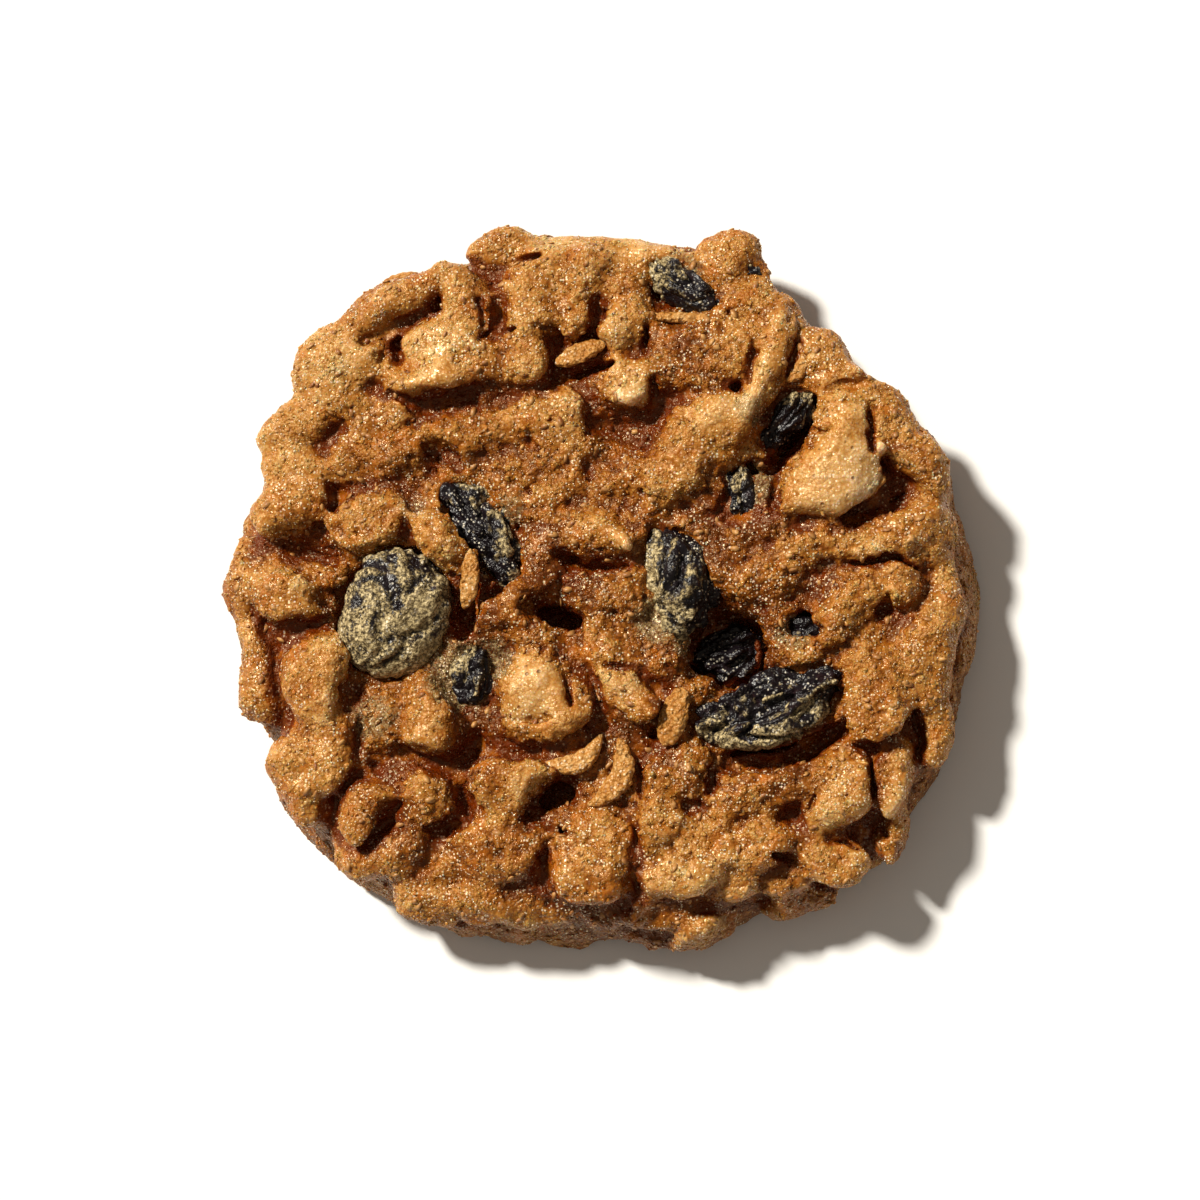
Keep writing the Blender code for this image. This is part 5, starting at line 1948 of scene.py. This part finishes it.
@dataclass
class Raisins:
    """All the raisins, each in its own piece."""

    effects: Effects
    voxel: float = 0.2
    rounds: int = 12

    def build(self) -> list[bpy.types.Object]:
        """Makes and dresses each raisin.

        Returns:
            The raisins.
        """
        finish = RaisinFinish().material(self.effects)
        wrinkles = wrinkle_tree()
        return [self.build_one(fruit, finish, wrinkles) for fruit in FRUITS]

    def build_one(self, fruit: Fruit, finish: bpy.types.Material, wrinkles: Shaping) -> bpy.types.Object:
        """Makes one raisin from its solid.

        Args:
            fruit: Which one.
            finish: Its material.
            wrinkles: The tree that creases it.

        Returns:
            The raisin.
        """
        piece = rounded_copy(fruit.node, f"{fruit.node}_skin", self.voxel, self.rounds)
        middle, directions, _ = fruit.frame()
        values = {
            "Centre": tuple(float(value) for value in middle * MM),
            "Turn": math.atan2(directions[0][1], directions[0][0]),
            "Stretch": fruit.stretch,
            "Swell": fruit.swell,
            "Crease Size": fruit.crease_size,
            "Crease Depth": fruit.crease,
            "Pucker Depth": fruit.pucker,
            "Seed": fruit.seed,
            "Material": finish,
        }
        wrinkles.run(piece, values)
        baked(piece)
        self.paint_film(piece.data, fruit, middle)
        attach(piece, BODY)
        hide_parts(fruit.node)
        log.info("%s: %d faces", piece.name, len(piece.data.polygons))
        return piece

    def paint_film(self, mesh: bpy.types.Mesh, fruit: Fruit, middle: np.ndarray) -> None:
        """Paints how much film lies on each point: more on one side, less in the creases.

        Args:
            mesh: The raisin's mesh.
            fruit: Which one.
            middle: Its middle.
        """
        points = points_of(mesh)
        ridge = np.empty(len(points), np.float32)
        mesh.attributes["ridge"].data.foreach_get("value", ridge)
        side = math.radians(fruit.film_from)
        x, y = points[:, 0] - middle[0], points[:, 1] - middle[1]
        lean = (x * math.cos(side) + y * math.sin(side)) / np.hypot(x, y).max()
        film = fruit.film + fruit.film_lean * lean - 0.5 * (1 - ridge)
        paint(mesh, "film", np.clip(film, 0, 1))


@dataclass
class LooseFlakes:
    """The oat flakes that stand out of the dough."""

    effects: Effects
    voxel: float = 0.12
    rounds: int = 6

    def build(self) -> list[bpy.types.Object]:
        """Makes and dresses each loose flake.

        Returns:
            The flakes.
        """
        finish = OatFinish().material(self.effects)
        relief = relief_tree()
        nodes = [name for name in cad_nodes() if name.startswith("oat_")]
        return [self.build_one(node, number, finish, relief) for number, node in enumerate(nodes)]

    def build_one(
        self, node: str, number: int, finish: bpy.types.Material, relief: Shaping,
    ) -> bpy.types.Object:
        """Makes one flake from its solid.

        Args:
            node: The solid's name.
            number: Its place in the row of flakes, for its seed.
            finish: Its material.
            relief: The tree that roughens it.

        Returns:
            The flake.
        """
        piece = rounded_copy(node, f"{node}_flake", self.voxel, self.rounds)
        baked(piece)
        paint(piece.data, "crust", np.ones(len(piece.data.vertices)))
        values = {
            "Lump Size": 1.8, "Lump Height": 0.22, "Blister Size": 0.7, "Blister Height": 0.1,
            "Pore Size": 1.1, "Pore Depth": 0.12, "Seed": 10.0 * number, "Material": finish,
        }
        relief.run(piece, values)
        baked(piece)
        paint(piece.data, "hollow", np.full(len(piece.data.vertices), 0.2))
        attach(piece, BODY)
        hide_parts(node)
        log.info("%s: %d faces", piece.name, len(piece.data.polygons))
        return piece


@dataclass(frozen=True)
class Strewing:
    """One kind of grain, and how it is strewn. It has the crust's own finish where none is named."""

    name: str
    grit: Grit
    per_square: float
    least: float
    most: float
    sink: float
    finish: CrumbFinish | None = None


STREWINGS: tuple[Strewing, ...] = (
    Strewing("crumbs", Grit.CRUMB, 0.3, 0.4, 0.95, 0.3),
    Strewing("granules", Grit.GRANULE, 1.7, 0.22, 0.45, 0.2),
    Strewing("sugar_grains", Grit.SUGAR, 1.6, 0.09, 0.2, 0.2,
             CrumbFinish("sugar", linear(200, 166, 116), linear(240, 226, 200), 0.14)),
    Strewing("bran_specks", Grit.BRAN, 0.2, 0.4, 1.2, 0.0,
             CrumbFinish("bran", linear(126, 66, 22), linear(196, 146, 82), 0.45)),
)


@dataclass
class Grains:
    """The crumbs, granules, sugar and bran that lie on the crust."""

    seed: int = 5

    def build(self, dough: Dough) -> list[bpy.types.Object]:
        """Strews each kind over the crust.

        Args:
            dough: The finished dough.

        Returns:
            One piece for each kind.
        """
        pieces = []
        for number, strewing in enumerate(STREWINGS):
            piece = new_piece(strewing.name, dough.piece.data.copy())
            crust = dough.piece.data.materials[0]
            finish = strewing.finish.material() if strewing.finish else crust
            piece.data.materials.clear()
            values = {
                "Per Square": strewing.per_square, "Least": strewing.least, "Most": strewing.most,
                "Sink": strewing.sink, "Seed": self.seed + number, "Material": finish,
            }
            Scatter(strewing.grit).run(piece, values)
            baked(piece)
            if strewing.finish is None:
                dough.paint_values(piece.data)
            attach(piece, BODY)
            log.info("%s: %d faces", piece.name, len(piece.data.polygons))
            pieces.append(piece)
        return pieces


def way(turn: float, height: float) -> Vector:
    """A direction, from its turn about the upright and its height above the floor, in degrees."""
    turn, height = math.radians(turn), math.radians(height)
    return Vector((math.cos(turn) * math.cos(height), math.sin(turn) * math.cos(height), math.sin(height)))


@dataclass
class Studio:
    """The pale floor, the lights and the camera."""

    lean: float = 8.0
    lean_toward: float = -50.0
    distance: float = 0.46
    aim: tuple[float, float] = (0.0, -1.4 * MM)
    view_width: float = 0.12715
    sensor_width: float = 36.0
    key_turn: float = 138.0
    key_height: float = 45.0
    key_energy: float = 5.4
    key_spread: float = 7.0
    key_colour: tuple[float, float, float] = (1.0, 0.95, 0.85)
    sky_colour: tuple[float, float, float, float] = (1.0, 0.88, 0.74, 1.0)
    sky_strength: float = 0.22
    floor_half_width: float = 1.5
    floor_drop: float = 0.05 * MM

    def build(self) -> None:
        """Sets up the whole studio."""
        self.build_floor()
        self.build_lights()
        self.build_camera()
        view = bpy.context.scene.view_settings
        view.view_transform = "Standard"
        view.look = "None"

    def build_floor(self) -> None:
        """A wide pale floor, just under the cookie's base."""
        bm = bmesh.new()
        down = Matrix.Translation((0, 0, -self.floor_drop))
        bmesh.ops.create_grid(bm, x_segments=8, y_segments=8, size=self.floor_half_width, matrix=down)
        mesh = bpy.data.meshes.new("floor")
        bm.to_mesh(mesh)
        bm.free()
        floor = new_piece("floor", mesh)
        coat = Coat("floor_paint")
        shade = coat.noise(coat.place(), 60.0, 2.0)
        colour = coat.ramp(shade, (0.3, linear(238, 238, 238)), (0.7, linear(244, 244, 244)))
        coat.set({"Base Color": colour, "Roughness": 0.9})
        mesh.materials.append(coat.material)
        floor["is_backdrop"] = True

    def build_lights(self) -> None:
        """A key light from the back left and an even sky."""
        key = bpy.data.lights.new("key", "SUN")
        key.energy = self.key_energy
        key.angle = math.radians(self.key_spread)
        key.color = self.key_colour
        lamp = bpy.data.objects.new("key", key)
        toward = way(self.key_turn, self.key_height)
        lamp.rotation_mode = "QUATERNION"
        lamp.rotation_quaternion = toward.to_track_quat("Z", "Y")
        bpy.context.scene.collection.objects.link(lamp)
        world = bpy.data.worlds.new("sky")
        world.use_nodes = True
        back = world.node_tree.nodes["Background"]
        back.inputs["Color"].default_value = self.sky_colour
        back.inputs["Strength"].default_value = self.sky_strength
        bpy.context.scene.world = world

    def build_camera(self) -> None:
        """A camera nearly above the cookie, leaning a little to the front right."""
        low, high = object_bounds()
        centre = Vector((self.aim[0], self.aim[1], (low[2] + high[2]) / 2))
        back = way(self.lean_toward, 90.0 - self.lean)
        lens = bpy.data.cameras.new("camera")
        lens.sensor_width = self.sensor_width
        lens.lens = self.sensor_width * self.distance / self.view_width
        lens.clip_start = 0.01
        camera = bpy.data.objects.new("camera", lens)
        camera.location = centre + back * self.distance
        up = (Vector((0, 1, 0)) - back * back.y).normalized()
        right = up.cross(back)
        camera.rotation_mode = "QUATERNION"
        camera.rotation_quaternion = Matrix((right, up, back)).transposed().to_quaternion()
        bpy.context.scene.collection.objects.link(camera)
        bpy.context.scene.camera = camera


def main() -> None:
    """Builds the cookie piece by piece."""
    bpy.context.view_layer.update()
    Studio().build()
    effects = Effects()
    dough = Dough(effects)
    dough.build()
    dough.dress()
    Raisins(effects).build()
    LooseFlakes(effects).build()
    Grains().build(dough)


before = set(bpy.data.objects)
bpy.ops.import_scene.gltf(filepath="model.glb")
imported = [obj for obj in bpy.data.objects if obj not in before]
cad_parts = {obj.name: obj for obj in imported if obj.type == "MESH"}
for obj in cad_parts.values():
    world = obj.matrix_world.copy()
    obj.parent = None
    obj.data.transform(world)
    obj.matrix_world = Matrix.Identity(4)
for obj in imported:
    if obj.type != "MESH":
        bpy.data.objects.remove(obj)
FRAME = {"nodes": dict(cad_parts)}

if __name__ == "__main__":
    main()
